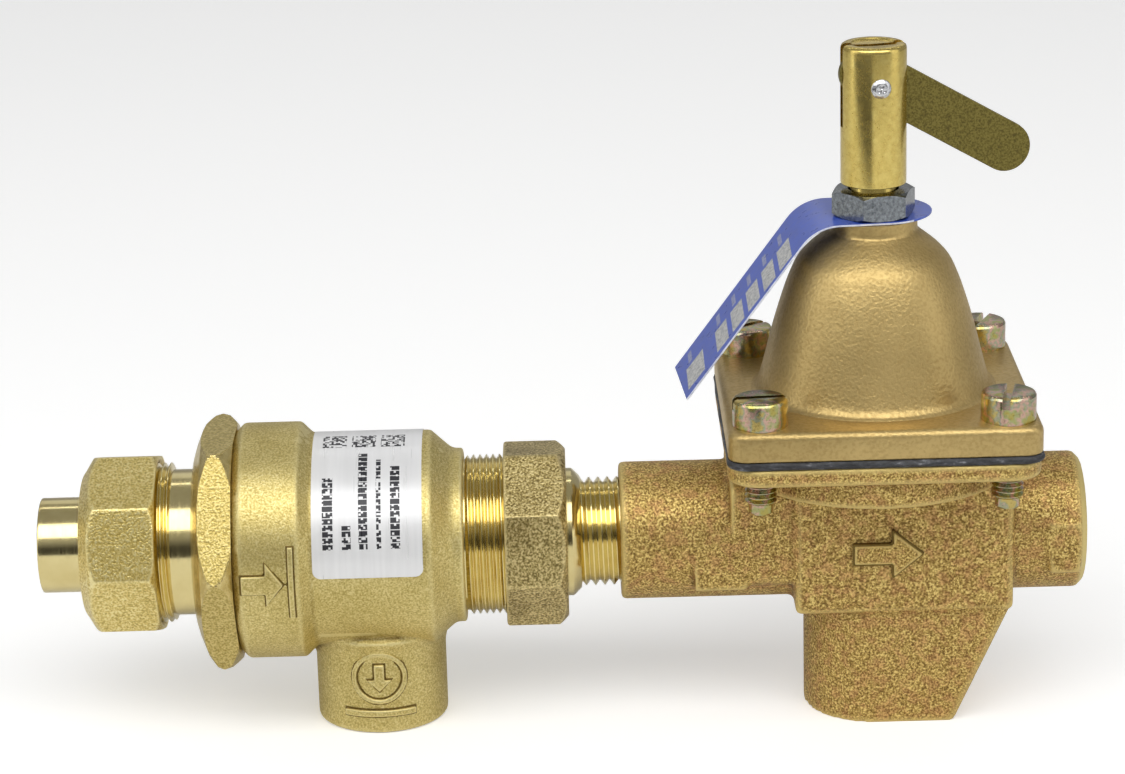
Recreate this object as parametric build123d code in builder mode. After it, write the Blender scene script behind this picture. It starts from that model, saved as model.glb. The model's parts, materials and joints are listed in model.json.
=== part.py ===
from build123d import *
import math
import os

# Boiler feed set: a dual check backflow preventer with an intermediate vent, joined by a union
# to a diaphragm pressure regulator with a quick-fill lever. Millimetres, +Z up, flow along +X.
# The origin is the centre of the inlet's solder cup, at its mouth.
os.makedirs("parts", exist_ok=True)

# ---- driving dimensions -------------------------------------------------------------------
overall_length = 202.8
foot_z = -36.4  # the vent port and the strainer pocket end on one level, so the set stands
vent_x = 65.3
regulator_x = 162.5

tube_cup_radius = 8.0  # 1/2 in copper water tube, 15.88 mm outside
tube_cup_depth = 12.9
pipe_tap_radius = 9.9  # 1/2 NPT female thread, plain wall at its pitch radius
union_thread_crest = 15.6
union_thread_root = 14.88
union_pitch = 1.27
nipple_crest = 10.6  # 1/2 NPT male thread
nipple_root = 9.75
nipple_pitch = 1.814
running = 0.05  # radial clearance of a turning or sliding fit

inlet_nut_x = 8.5
inlet_nut_length = 15.0
tailpiece_radius = 9.3
tailpiece_end_x = 14.9
cap_face_x = 16.3
cap_bore = 8.0
hex_flange_x = 30.0
hex_corner_radius = 25.4
cap_end_x = 53.0
body_face_x = 38.7
body_end_x = 94.9
barrel_radius = (23.0, 20.7)  # the barrel's two steps
port_radius = 12.8
outlet_nut_x = 90.5
outlet_nut_length = 12.1
nut_corner_radius = 18.3
nut_lip = 3.3
nipple_x = (96.3, 122.4)
nipple_neck_radius = 12.5
label_x = (53.9, 75.0)
label_radius = (20.72, 20.87)
label_start_angle = -2.0  # degrees above the front horizontal where the label begins
label_sweep = 127

flange_half = 29.5
flange_corner = 6.0
screw_offset = 23.25
screw_hole_radius = 3.2
boss_radius = (13.4, 13.3)  # inlet boss, outlet boss
chamber_radius = 27.0
chamber_bore = 22.5
seat_web_z = (-5.0, -1.5)
body_flange_z = (18.0, 21.7)
cover_flange_z = (23.1, 28.8)
neck_radius = 8.4
neck_top_z = 62.4
lock_nut_z = (62.9, 67.9)
stem_z = (69.0, 96.0)
button_z = (43.2, 47.9)  # the range spring's button, with the screw backed in as set
stem_radius = 6.25
screw_thread_crest = 4.8  # 3/8 in adjusting thread, 16 to the inch
screw_thread_root = 4.1
screw_thread_pitch = 1.5875
pin_z = 88.4
lever_turn = 8.5  # degrees that the lever's plane stands round from the flow line
lever_droop = 30.5  # degrees below the horizontal when the lever is down
slot_floor_z = 80.15


# ---- shared helpers -----------------------------------------------------------------------
regulator_axis = Axis((regulator_x, 0, 0), (0, 0, 1))
regulator_plane = Plane(origin=(regulator_x, 0, 0), x_dir=(1, 0, 0), z_dir=(0, -1, 0))


def section(plane, outline):
    """A closed half-section drawn through (across, up) points of the plane."""
    with BuildSketch(plane) as face:
        with BuildLine():
            Polyline(*outline, close=True)
        make_face()
    return face.sketch


def on_x(outline):
    """A half-section of (along the pipe, radius) points."""
    return section(Plane.XY, outline)


def on_z(outline):
    """A half-section of (radius, height) points at the regulator's axis."""
    return section(regulator_plane, outline)


def ridges(start, end, crest, root, pitch):
    """(along, radius) points of thread ridges that fill start to end."""
    count = int((end - start) / pitch)
    points = [(start, root)]
    for turn in range(count):
        ridge = start + (turn + 0.5) * pitch
        points.append((ridge - 0.07 * pitch, crest))
        points.append((ridge + 0.07 * pitch, crest))
        points.append((start + (turn + 1) * pitch, root))
    return points


def flip(points):
    """(along, radius) points as (radius, height) points."""
    return [(radius, along) for along, radius in points]


def spring(plane, mean_radius, wire_radius, length, turns):
    """A round-wire coil that stands on the plane, length from face to face."""
    rise = length - 2 * wire_radius
    coil = Helix(rise / turns, rise, mean_radius)
    start = Plane(origin=coil @ 0, z_dir=coil % 0)
    with BuildPart() as wound:
        with BuildSketch(start):
            Circle(wire_radius)
        sweep(path=coil, is_frenet=True)
    return plane.offset(wire_radius).location * wound.part


def spider(x, length, bore):
    """The three-armed guide that holds a check valve's stem in line."""
    with BuildPart() as guide:
        revolve(on_x([(x, 9.2), (x, 10.9), (x + length, 10.9), (x + length, 9.2)]), axis=Axis.X)
        revolve(on_x([(x, bore), (x, 3.6), (x + length, 3.6), (x + length, bore)]), axis=Axis.X)
        with BuildSketch(Plane.YZ.offset(x)):
            with PolarLocations(6.4, 3):
                Rectangle(6.0, 1.6)
        extrude(amount=length)
    return guide.part


def save(part, name):
    part.label = name
    export_step(part, f"parts/{name}.step")


# ---- inlet union --------------------------------------------------------------------------
collar_x = inlet_nut_x + nut_lip + 0.1
with BuildPart() as inlet_tailpiece:
    revolve(
        on_x([
            (0, tube_cup_radius), (0, tailpiece_radius - 0.4), (0.4, tailpiece_radius),
            (collar_x, tailpiece_radius), (collar_x, 13.9), (tailpiece_end_x, 13.9),
            (tailpiece_end_x, 7.0), (tube_cup_depth, 7.0), (tube_cup_depth, tube_cup_radius),
        ]),
        axis=Axis.X,
    )
save(inlet_tailpiece.part, "inlet_tailpiece")

with BuildPart() as inlet_union_gasket:
    revolve(
        on_x([
            (tailpiece_end_x, 8.2), (tailpiece_end_x, 13.8), (cap_face_x, 13.8), (cap_face_x, 8.2),
        ]),
        axis=Axis.X,
    )
save(inlet_union_gasket.part, "inlet_union_gasket")


def union_nut(x, length, lip_x, neck_radius, first_corner, envelope):
    """An eight-sided union nut: flats cut to the envelope, a lip and a threaded bore."""
    thread_bore = union_thread_crest + running
    with BuildPart() as nut:
        with BuildSketch(Plane.YZ.offset(x)):
            RegularPolygon(nut_corner_radius, 8, rotation=first_corner)
        extrude(amount=length)
        revolve(on_x(envelope), axis=Axis.X, mode=Mode.INTERSECT)
        revolve(
            on_x([(lip_x[0], 0), (lip_x[0], neck_radius), (lip_x[1], neck_radius), (lip_x[1], 0)]),
            axis=Axis.X,
            mode=Mode.SUBTRACT,
        )
        inside = x + length if lip_x[0] == x else x
        step = lip_x[1] if lip_x[0] == x else lip_x[0]
        mouth = inside + (0.7 if step > inside else -0.7)
        revolve(
            on_x([
                (step, 0), (step, thread_bore), (mouth, thread_bore), (inside, thread_bore + 0.7),
                (inside, 0),
            ]),
            axis=Axis.X,
            mode=Mode.SUBTRACT,
        )
    return nut.part


inlet_nut_end = inlet_nut_x + inlet_nut_length
inlet_union_nut = union_nut(
    inlet_nut_x, inlet_nut_length, (inlet_nut_x, inlet_nut_x + nut_lip),
    tailpiece_radius + running, 139.2,
    [
        (inlet_nut_x, 0), (inlet_nut_x, 13.6), (9.2, 14.6), (10.6, 16.9), (12.0, 18.3),
        (inlet_nut_end - 1.1, 18.3), (inlet_nut_end, 17.1), (inlet_nut_end, 0),
    ],
)
save(inlet_union_nut, "inlet_union_nut")

# ---- inlet cap: union thread, collar, hexagon flange and the spigot inside the body -------
with BuildPart() as inlet_cap:
    with BuildSketch(Plane.YZ.offset(hex_flange_x)):
        RegularPolygon(hex_corner_radius, 6)
    extrude(amount=body_face_x - hex_flange_x)
    revolve(
        on_x([
            (hex_flange_x, 0), (hex_flange_x, 17.4), (31.0, 19.4), (32.6, 22.9),
            (34.1, 24.9), (35.4, 25.5),
            (36.9, 24.9), (body_face_x, 22.9), (body_face_x, 0),
        ]),
        axis=Axis.X,
        mode=Mode.INTERSECT,
    )
    revolve(
        on_x([
            (cap_face_x, 0), (cap_face_x, 14.6),
            *ridges(16.7, 26.0, union_thread_crest, union_thread_root, union_pitch),
            (26.1, 14.25), (hex_flange_x + 0.6, 14.25), (hex_flange_x + 0.6, 17.4),
            (cap_end_x - 0.4, 17.4), (cap_end_x, 17.0), (cap_end_x, 0),
        ]),
        axis=Axis.X,
    )
    revolve(
        on_x([
            (cap_face_x, 0), (cap_face_x, cap_bore), (35.6, cap_bore), (35.6, 11.0),
            (cap_end_x, 11.0), (cap_end_x, 0),
        ]),
        axis=Axis.X,
        mode=Mode.SUBTRACT,
    )
save(inlet_cap.part, "inlet_cap")

with BuildPart() as cap_o_ring:
    with BuildSketch(Plane.XY):
        with Locations((39.7, 18.5)):
            Circle(0.9)
    revolve(axis=Axis.X)
save(cap_o_ring.part, "cap_o_ring")

with BuildPart() as inlet_strainer_screen:
    revolve(
        on_x([
            (16.9, 7.2), (16.9, 7.9), (17.5, 7.9), (17.5, 7.7), (34.0, 7.7), (34.0, 0),
            (33.4, 0), (33.4, 7.2),
        ]),
        axis=Axis.X,
    )
    for row in range(5):
        with BuildSketch(Plane.YZ.offset(19.5 + 3.0 * row)):
            with PolarLocations(7.4, 8):
                Rectangle(2.0, 1.5)
        extrude(amount=1.5, mode=Mode.SUBTRACT)
save(inlet_strainer_screen.part, "inlet_strainer_screen")

# ---- backflow preventer body --------------------------------------------------------------
vent_axis = Axis((vent_x, 0, 0), (0, 0, 1))
vent_plane = Plane(origin=(vent_x, 0, 0), x_dir=(1, 0, 0), z_dir=(0, -1, 0))
with BuildPart() as backflow_body:
    revolve(
        on_x([
            (body_face_x, 0), (body_face_x, 21.4), (40.2, barrel_radius[0]),
            (51.2, barrel_radius[0]), (53.5, barrel_radius[1]), (76.4, barrel_radius[1]),
            (80.2, 17.3), (80.9, 17.0), (83.0, 17.0), (83.2, union_thread_root),
            *ridges(83.4, 94.0, union_thread_crest, union_thread_root, union_pitch),
            (94.4, union_thread_root), (body_end_x, 14.4), (body_end_x, 0),
        ]),
        axis=Axis.X,
    )
    with BuildSketch(Plane.XY.offset(foot_z)):
        with Locations((vent_x, 0)):
            Circle(port_radius)
    extrude(amount=-foot_z)
    # the casting flares where the vent port meets the barrel
    revolve(
        section(
            vent_plane,
            [(0, -21.5), (port_radius, -21.5), (13.3, -19.2), (14.6, -17.0), (0, -8.0)],
        ),
        axis=vent_axis,
    )
    mouth = backflow_body.edges().filter_by(GeomType.CIRCLE).sort_by(Axis.Z)[0]
    fillet(mouth, radius=0.7)
    revolve(
        on_x([
            (body_face_x, 0), (body_face_x, 19.6), (40.7, 19.6), (40.7, 17.5), (54.8, 17.5),
            (54.8, 16.0), (71.0, 16.0), (71.0, 11.5), (body_end_x, 11.5), (body_end_x, 0),
        ]),
        axis=Axis.X,
        mode=Mode.SUBTRACT,
    )
    with BuildSketch(Plane.XY.offset(foot_z)):
        with Locations((vent_x, 0)):
            Circle(pipe_tap_radius)
    extrude(amount=13.0, mode=Mode.SUBTRACT)
    with BuildSketch(Plane.XY.offset(foot_z)):
        with Locations((vent_x, 0)):
            Circle(5.0)
    extrude(amount=-foot_z - 8, mode=Mode.SUBTRACT)
save(backflow_body.part, "backflow_body")

# ---- the two spring-loaded checks ---------------------------------------------------------
check_seal_radius = 8.4
for name, face_x in (("first", 38.65), ("second", 74.5)):
    with BuildPart() as check_seal:
        revolve(
            on_x([
                (face_x, 2.95), (face_x, check_seal_radius), (face_x + 1.15, check_seal_radius),
                (face_x + 1.15, 2.95),
            ]),
            axis=Axis.X,
        )
    save(check_seal.part, f"{name}_check_seal")
    with BuildPart() as check_poppet:
        revolve(
            on_x([
                (face_x - 0.35, 0), (face_x - 0.35, 2.9), (face_x + 1.15, 2.9),
                (face_x + 1.15, 8.6), (face_x + 2.75, 8.6), (face_x + 2.75, 1.95),
                (face_x + 13.1, 1.95), (face_x + 13.1, 0),
            ]),
            axis=Axis.X,
        )
    save(check_poppet.part, f"{name}_check_poppet")
    guide_x = face_x + 10.35
    save(spider(guide_x, 2.4, 1.95 + running), f"{name}_check_guide")
    check_spring = spring(Plane.YZ.offset(face_x + 2.8), 5.2, 0.4, 7.5, 4)
    save(check_spring, f"{name}_check_spring")

with BuildPart() as first_check_seat:
    revolve(
        on_x([
            (35.6, 6.2), (35.6, 10.95), (38.2, 10.95), (38.2, 7.6), (38.6, 7.3), (38.6, 6.8),
            (38.2, 6.2),
        ]),
        axis=Axis.X,
    )
save(first_check_seat.part, "first_check_seat")

with BuildPart() as second_check_seat:
    revolve(
        on_x([
            (62.5, 5.5), (62.5, 7.85), (61.6, 7.85), (61.6, 9.2), (71.05, 9.2), (71.05, 11.4),
            (74.05, 11.4), (74.05, 7.6), (74.45, 7.3), (74.45, 6.8), (74.05, 6.2), (72.5, 5.5),
        ]),
        axis=Axis.X,
    )
save(second_check_seat.part, "second_check_seat")

# ---- intermediate vent: a diaphragm carries a sleeve that shuts the vent under pressure ---
with BuildPart() as vent_seat_ring:
    revolve(on_x([(61.5, 5.6), (61.5, 7.8), (62.45, 7.8), (62.45, 5.6)]), axis=Axis.X)
save(vent_seat_ring.part, "vent_seat_ring")

with BuildPart() as vent_sleeve:
    revolve(
        on_x([
            (51.95, 5.4), (51.95, 8.8), (53.2, 8.8), (53.2, 7.4), (54.5, 7.4), (54.5, 8.8),
            (55.6, 8.8), (55.6, 7.4), (60.0, 7.4), (60.0, 5.4),
        ]),
        axis=Axis.X,
    )
save(vent_sleeve.part, "vent_sleeve")

with BuildPart() as vent_diaphragm:
    revolve(
        on_x([
            (53.05, 17.4), (54.75, 17.4), (54.75, 13.2), (56.8, 11.9), (56.8, 10.4),
            (54.4, 9.1), (54.4, 7.5), (53.3, 7.5), (53.3, 9.5), (55.7, 10.9), (55.7, 11.5),
            (53.05, 12.9),
        ]),
        axis=Axis.X,
    )
save(vent_diaphragm.part, "vent_diaphragm")

save(spring(Plane.YZ.offset(55.65), 8.3, 0.35, 5.9, 3), "vent_sleeve_spring")

# ---- outlet union -------------------------------------------------------------------------
outlet_nut_end = outlet_nut_x + outlet_nut_length
outlet_union_nut = union_nut(
    outlet_nut_x, outlet_nut_length, (outlet_nut_end - nut_lip, outlet_nut_end),
    nipple_neck_radius + running, 150.4,
    [
        (outlet_nut_x, 0), (outlet_nut_x, 17.9), (outlet_nut_x + 0.4, 18.3),
        (outlet_nut_end - 1.8, 18.3), (outlet_nut_end, 16.3), (outlet_nut_end, 0),
    ],
)
save(outlet_union_nut, "outlet_union_nut")

with BuildPart() as outlet_union_gasket:
    revolve(
        on_x([(body_end_x, 8.2), (body_end_x, 13.8), (nipple_x[0], 13.8), (nipple_x[0], 8.2)]),
        axis=Axis.X,
    )
save(outlet_union_gasket.part, "outlet_union_gasket")

nipple_collar_x = outlet_nut_end - nut_lip - 0.1
with BuildPart() as outlet_nipple:
    revolve(
        on_x([
            (nipple_x[0], 7.8), (nipple_x[0], 14.2), (nipple_collar_x, 14.2),
            (nipple_collar_x, nipple_neck_radius), (103.9, nipple_neck_radius), (105.2, 11.0),
            *ridges(105.4, 121.8, nipple_crest, nipple_root, nipple_pitch),
            (nipple_x[1] - 0.4, nipple_root), (nipple_x[1], 9.2), (nipple_x[1], 7.8),
        ]),
        axis=Axis.X,
    )
save(outlet_nipple.part, "outlet_nipple")

# ---- adhesive label round the body --------------------------------------------------------
label_start = math.radians(label_start_angle)
label_plane = Plane(
    origin=(0, 0, 0),
    x_dir=(1, 0, 0),
    z_dir=(0, -math.sin(label_start), -math.cos(label_start)),
)
with BuildPart() as body_label:
    revolve(
        section(label_plane, [
            (label_x[0], label_radius[0]), (label_x[0], label_radius[1]),
            (label_x[1], label_radius[1]), (label_x[1], label_radius[0]),
        ]),
        axis=Axis((0, 0, 0), (-1, 0, 0)),
        revolution_arc=label_sweep,
    )
    fillet(body_label.edges().filter_by(lambda edge: edge.length < 0.2), radius=1.6)
save(body_label.part, "body_label")

# ---- regulator body -----------------------------------------------------------------------
screw_spots = [
    (regulator_x + side * screw_offset, end * screw_offset) for end in (-1, 1) for side in (-1, 1)
]
pad_x = (regulator_x - 16.2, regulator_x + 25.9)
pad_z = (-13.3, 13.5)
pad_half = 14.6
boss_face_x = regulator_x - 49.6
pocket_radius = 13.7


def flange_plate(low, high):
    """The square flange with rounded corners that body, diaphragm and cover share."""
    with BuildPart() as plate:
        with BuildSketch(Plane.XY.offset(low)):
            with Locations((regulator_x, 0)):
                RectangleRounded(2 * flange_half, 2 * flange_half, flange_corner)
            with Locations(*screw_spots):
                Circle(screw_hole_radius, mode=Mode.SUBTRACT)
        extrude(amount=high - low)
    return plate.part


with BuildPart() as regulator_body:
    with BuildSketch(Plane.XY.offset(pad_z[0])):
        with Locations(((pad_x[0] + pad_x[1]) / 2, 0)):
            RectangleRounded(pad_x[1] - pad_x[0], 2 * pad_half, 1.2)
    extrude(amount=pad_z[1] - pad_z[0])
    fillet(regulator_body.faces().sort_by(Axis.Z)[0].edges(), radius=1.0)
    # strainer pocket: half-round towards the inlet, sloping back towards the outlet
    with BuildSketch(Plane.XZ.offset(-pocket_radius)):
        with BuildLine():
            Polyline(
                (regulator_x, foot_z), (regulator_x + 14.8, foot_z), (pad_x[1], pad_z[0] + 1),
                (regulator_x, pad_z[0] + 1), close=True,
            )
        make_face()
    extrude(amount=2 * pocket_radius)
    slope_edges = regulator_body.edges().filter_by(
        lambda edge: edge.length > 20
        and abs(edge.center().Z + 24) < 4
        and edge.center().X > pad_x[0] + 30
    )
    fillet(slope_edges, radius=1.5)
    with BuildSketch(Plane.XY.offset(foot_z)):
        with Locations((regulator_x, 0)):
            Circle(pocket_radius)
    extrude(amount=pad_z[0] - foot_z + 2)
    # neck between the inlet boss and the pad, with wrench flats on both bosses
    with BuildSketch(Plane.YZ.offset(regulator_x - 28.5)):
        with Locations((0, 2.5)):
            RectangleRounded(27.0, 21.0, 3.0)
    extrude(amount=14)
    revolve(
        on_x([
            (boss_face_x, 0), (boss_face_x, boss_radius[0] - 0.5), (boss_face_x + 0.5, boss_radius[0]),
            (regulator_x, boss_radius[0]), (regulator_x, boss_radius[1]),
            (overall_length - 1.3, boss_radius[1]), (overall_length, boss_radius[1] - 1.3),
            (overall_length, 0),
        ]),
        axis=Axis.X,
    )
    with BuildSketch(Plane.YZ.offset(regulator_x - 35.4)):
        with Locations((0, -3.3)):
            RectangleRounded(27.0, 10.2, 0.8)
    extrude(amount=10)
    with BuildSketch(Plane.YZ.offset(regulator_x + 33.0)):
        with Locations((0, -1.4)):
            RectangleRounded(26.9, 10.4, 0.8)
    extrude(amount=6.0)
    # round diaphragm chamber under the flange
    with BuildSketch(Plane.XY.offset(12.4)):
        with Locations((regulator_x, 0)):
            Circle(chamber_radius)
    extrude(amount=6)
    add(flange_plate(*body_flange_z))
    flange_foot = regulator_body.edges().filter_by(
        lambda edge: abs(edge.center().Z - body_flange_z[0]) < 0.01
        and edge.bounding_box().size.Z < 0.01
        and max(abs(edge.center().X - regulator_x), abs(edge.center().Y)) > 27.5
    )
    fillet(flange_foot, radius=0.9)
    # waterways: inlet thread and bore, port into the pocket, seat web, chamber, outlet
    revolve(
        on_x([
            (boss_face_x, 0), (boss_face_x, 11.3), (boss_face_x + 0.6, 10.7),
            (regulator_x - 38.5, 10.7), (regulator_x - 38.0, 9.0), (regulator_x - 23.0, 9.0),
            (regulator_x - 21.0, 0),
        ]),
        axis=Axis.X,
        mode=Mode.SUBTRACT,
    )
    with BuildSketch(Plane.YZ.offset(regulator_x - 25.0)):
        with Locations((0, -8.2)):
            Circle(3.8)
    extrude(amount=18, mode=Mode.SUBTRACT)
    revolve(
        on_z([
            (0, foot_z), (10.8, foot_z), (10.2, foot_z + 0.6), (10.2, seat_web_z[0]),
            (7.05, seat_web_z[0]), (7.05, seat_web_z[1]), (10.0, seat_web_z[1]), (10.0, 15.5),
            (chamber_bore, 15.5), (chamber_bore, body_flange_z[1]),
            (0, body_flange_z[1]),
        ]),
        axis=regulator_axis,
        mode=Mode.SUBTRACT,
    )
    with BuildSketch(Plane.YZ.offset(regulator_x + 6.0)):
        with Locations((0, 3.6)):
            Circle(5.5)
    extrude(amount=22, mode=Mode.SUBTRACT)
    revolve(
        on_x([
            (overall_length, 0), (overall_length, pipe_tap_radius),
            (overall_length - 14.5, pipe_tap_radius), (overall_length - 18.5, 0),
        ]),
        axis=Axis.X,
        mode=Mode.SUBTRACT,
    )
    # raised flow arrow on the front pad
    with BuildSketch(Plane.XZ.offset(pad_half - 0.3)):
        with BuildLine():
            Polyline(
                (regulator_x - 4.9, -2.6), (regulator_x + 3.3, -2.6), (regulator_x + 3.3, -5.2),
                (regulator_x + 8.1, -0.8), (regulator_x + 3.3, 3.6), (regulator_x + 3.3, 1.0),
                (regulator_x - 4.9, 1.0), close=True,
            )
        make_face()
    extrude(amount=1.0, taper=12)
save(regulator_body.part, "regulator_body")

# ---- diaphragm and the moving valve train -------------------------------------------------
with BuildPart() as diaphragm:
    add(flange_plate(body_flange_z[1], cover_flange_z[0]))
    with BuildSketch(Plane.XY.offset(body_flange_z[1])):
        with Locations((regulator_x, 0)):
            Circle(2.2)
    extrude(amount=2, mode=Mode.SUBTRACT)
save(diaphragm.part, "diaphragm")

with BuildPart() as upper_diaphragm_plate:
    revolve(
        on_z([
            (2.1, 23.15), (15.0, 23.15), (15.6, 24.4), (15.0, 24.6), (8.1, 24.6), (7.6, 26.2),
            (6.8, 26.2), (6.3, 24.6), (2.1, 24.6),
        ]),
        axis=regulator_axis,
    )
save(upper_diaphragm_plate.part, "upper_diaphragm_plate")

with BuildPart() as lower_diaphragm_plate:
    revolve(on_z([(2.1, 20.2), (11.0, 20.2), (11.0, 21.65), (2.1, 21.65)]), axis=regulator_axis)
save(lower_diaphragm_plate.part, "lower_diaphragm_plate")

with BuildPart() as valve_stem:
    revolve(
        on_z([
            (0, -11.4), (1.6, -11.4), (1.6, 16.5), (2.8, 16.5), (2.8, 20.15), (2.0, 20.15),
            (2.0, 28.2), (0, 28.2),
        ]),
        axis=regulator_axis,
    )
save(valve_stem.part, "valve_stem")

with BuildPart() as stem_nut:
    with BuildSketch(Plane.XY.offset(24.65)):
        with Locations((regulator_x, 0)):
            RegularPolygon(4.6, 6)
            Circle(2.05, mode=Mode.SUBTRACT)
    extrude(amount=2.6)
save(stem_nut.part, "stem_nut")

with BuildPart() as disc_holder:
    revolve(
        on_z([
            (1.65, -12.4), (6.2, -12.4), (6.2, -6.8), (5.4, -6.8), (5.4, -8.2), (1.65, -8.2),
        ]),
        axis=regulator_axis,
    )
save(disc_holder.part, "disc_holder")

with BuildPart() as valve_disc:
    revolve(on_z([(1.65, -8.15), (5.35, -8.15), (5.35, -5.7), (1.65, -5.7)]), axis=regulator_axis)
save(valve_disc.part, "valve_disc")

with BuildPart() as valve_seat:
    revolve(
        on_z([
            (4.0, -5.2), (4.3, -5.65), (4.8, -5.65), (5.2, -5.0), (7.0, seat_web_z[0]),
            (7.0, seat_web_z[1]), (8.4, seat_web_z[1]), (8.4, -0.4), (4.0, -0.4),
        ]),
        axis=regulator_axis,
    )
save(valve_seat.part, "valve_seat")

plug_post_top = -25.0
save(
    spring(Plane((regulator_x, 0, plug_post_top + 0.05)), 4.4, 0.4, 12.5, 6),
    "valve_return_spring",
)

# ---- strainer in the pocket ---------------------------------------------------------------
screen_z = (-30.9, -5.05)
with BuildPart() as strainer_screen:
    revolve(
        on_z([(8.2, screen_z[0]), (8.7, screen_z[0]), (8.7, screen_z[1]), (8.2, screen_z[1])]),
        axis=regulator_axis,
    )
    for row in range(6):
        with BuildSketch(Plane.XY.offset(screen_z[0] + 2.6 + 3.6 * row)):
            with Locations((regulator_x, 0)):
                with PolarLocations(8.4, 10):
                    Rectangle(2.0, 1.8)
        extrude(amount=2.0, mode=Mode.SUBTRACT)
save(strainer_screen.part, "strainer_screen")

with BuildPart() as strainer_plug:
    revolve(
        on_z([
            (0, foot_z + 0.1), (9.6, foot_z + 0.1), (10.1, foot_z + 0.6), (10.1, -33.9),
            (9.0, -33.9), (9.0, -32.6), (10.1, -32.6), (10.1, -31.0), (5.6, -31.0),
            (5.6, plug_post_top), (0, plug_post_top),
        ]),
        axis=regulator_axis,
    )
    with BuildSketch(Plane.XY.offset(foot_z)):
        with Locations((regulator_x, 0)):
            RegularPolygon(5.8, 6)
    extrude(amount=5.0, mode=Mode.SUBTRACT)
save(strainer_plug.part, "strainer_plug")

with BuildPart() as plug_o_ring:
    with BuildSketch(regulator_plane):
        with Locations((9.6, -33.25)):
            Circle(0.55)
    revolve(axis=regulator_axis)
save(plug_o_ring.part, "plug_o_ring")

# ---- spring cover -------------------------------------------------------------------------
with BuildPart() as spring_cover:
    add(flange_plate(*cover_flange_z))
    top_rim = spring_cover.edges().filter_by(
        lambda edge: abs(edge.center().Z - cover_flange_z[1]) < 0.01
        and max(abs(edge.center().X - regulator_x), abs(edge.center().Y)) > 27.5
    )
    fillet(top_rim, radius=1.3)
    with BuildSketch(regulator_plane):
        with BuildLine():
            Line((0, 27.0), (22.9, 27.0))
            Line((22.9, 27.0), (22.9, 29.8))
            RadiusArc((22.9, 29.8), (22.1, 31.0), -1.5)
            Spline(
                (22.1, 31.0), (20.8, 35.5), (19.5, 41.0), (17.9, 46.2), (16.5, 50.4),
                (15.0, 54.0), (13.0, 56.9), (10.4, 58.7), (8.9, 59.6),
                tangents=((-0.35, 1), (-0.9, 0.8)),
            )
            Line((8.9, 59.6), (neck_radius, 60.4))
            Line((neck_radius, 60.4), (neck_radius, neck_top_z))
            Line((neck_radius, neck_top_z), (0, neck_top_z))
            Line((0, neck_top_z), (0, 27.0))
        make_face()
    revolve(axis=regulator_axis)
    revolve(
        on_z([
            (0, cover_flange_z[0]), (chamber_bore, cover_flange_z[0]), (chamber_bore, 26.5),
            (18.9, 30.0),
            (17.6, 36.0), (15.9, 43.0), (13.6, 50.5), (12.2, 53.6), (9.5, 55.2),
            (screw_thread_crest + running, 55.8), (screw_thread_crest + running, neck_top_z - 0.4),
            (screw_thread_crest + 0.5, neck_top_z),
            (0, neck_top_z),
        ]),
        axis=regulator_axis,
        mode=Mode.SUBTRACT,
    )
save(spring_cover.part, "spring_cover")

# ---- cover screws: slotted cheese heads ---------------------------------------------------
head_z = (cover_flange_z[1], cover_flange_z[1] + 5.4)
slot_turns = (4, 78, 35, 66)
screw_outline = [
    (0, 11.3), (2.0, 11.3), (2.35, 11.7), (2.35, 13.2),
    *flip(ridges(13.4, 21.4, 3.0, 2.45, 1.0)),
    (2.95, 21.8), (2.95, head_z[0]), (5.2, head_z[0]), (5.2, head_z[1] - 0.7),
    (4.95, head_z[1] - 0.25), (4.4, head_z[1]), (0, head_z[1]),
]
with BuildPart() as cover_screws:
    for (spot_x, spot_y), turn in zip(screw_spots, slot_turns):
        spot_plane = Plane(origin=(spot_x, spot_y, 0), x_dir=(1, 0, 0), z_dir=(0, -1, 0))
        revolve(section(spot_plane, screw_outline), axis=Axis((spot_x, spot_y, 0), (0, 0, 1)))
        with BuildSketch(Plane.XY.offset(head_z[1] - 2.2)):
            with Locations(Location((spot_x, spot_y, 0), (0, 0, turn))):
                Rectangle(12, 1.5)
        extrude(amount=3, mode=Mode.SUBTRACT)
save(cover_screws.part, "cover_screws")

# ---- range spring, button and adjusting screw ---------------------------------------------
plate_top_z = 24.65
save(
    spring(Plane((regulator_x, 0, plate_top_z)), 9.5, 1.1, button_z[0] + 1.75 - plate_top_z, 5),
    "range_spring",
)

with BuildPart() as spring_button:
    revolve(
        on_z([
            (2.1, button_z[0]), (7.6, button_z[0]), (8.0, button_z[0] + 1.8),
            (11.2, button_z[0] + 1.8), (11.2, button_z[1] - 1.5), (6.0, button_z[1]),
            (2.1, button_z[1]),
        ]),
        axis=regulator_axis,
    )
save(spring_button.part, "spring_button")

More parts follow.
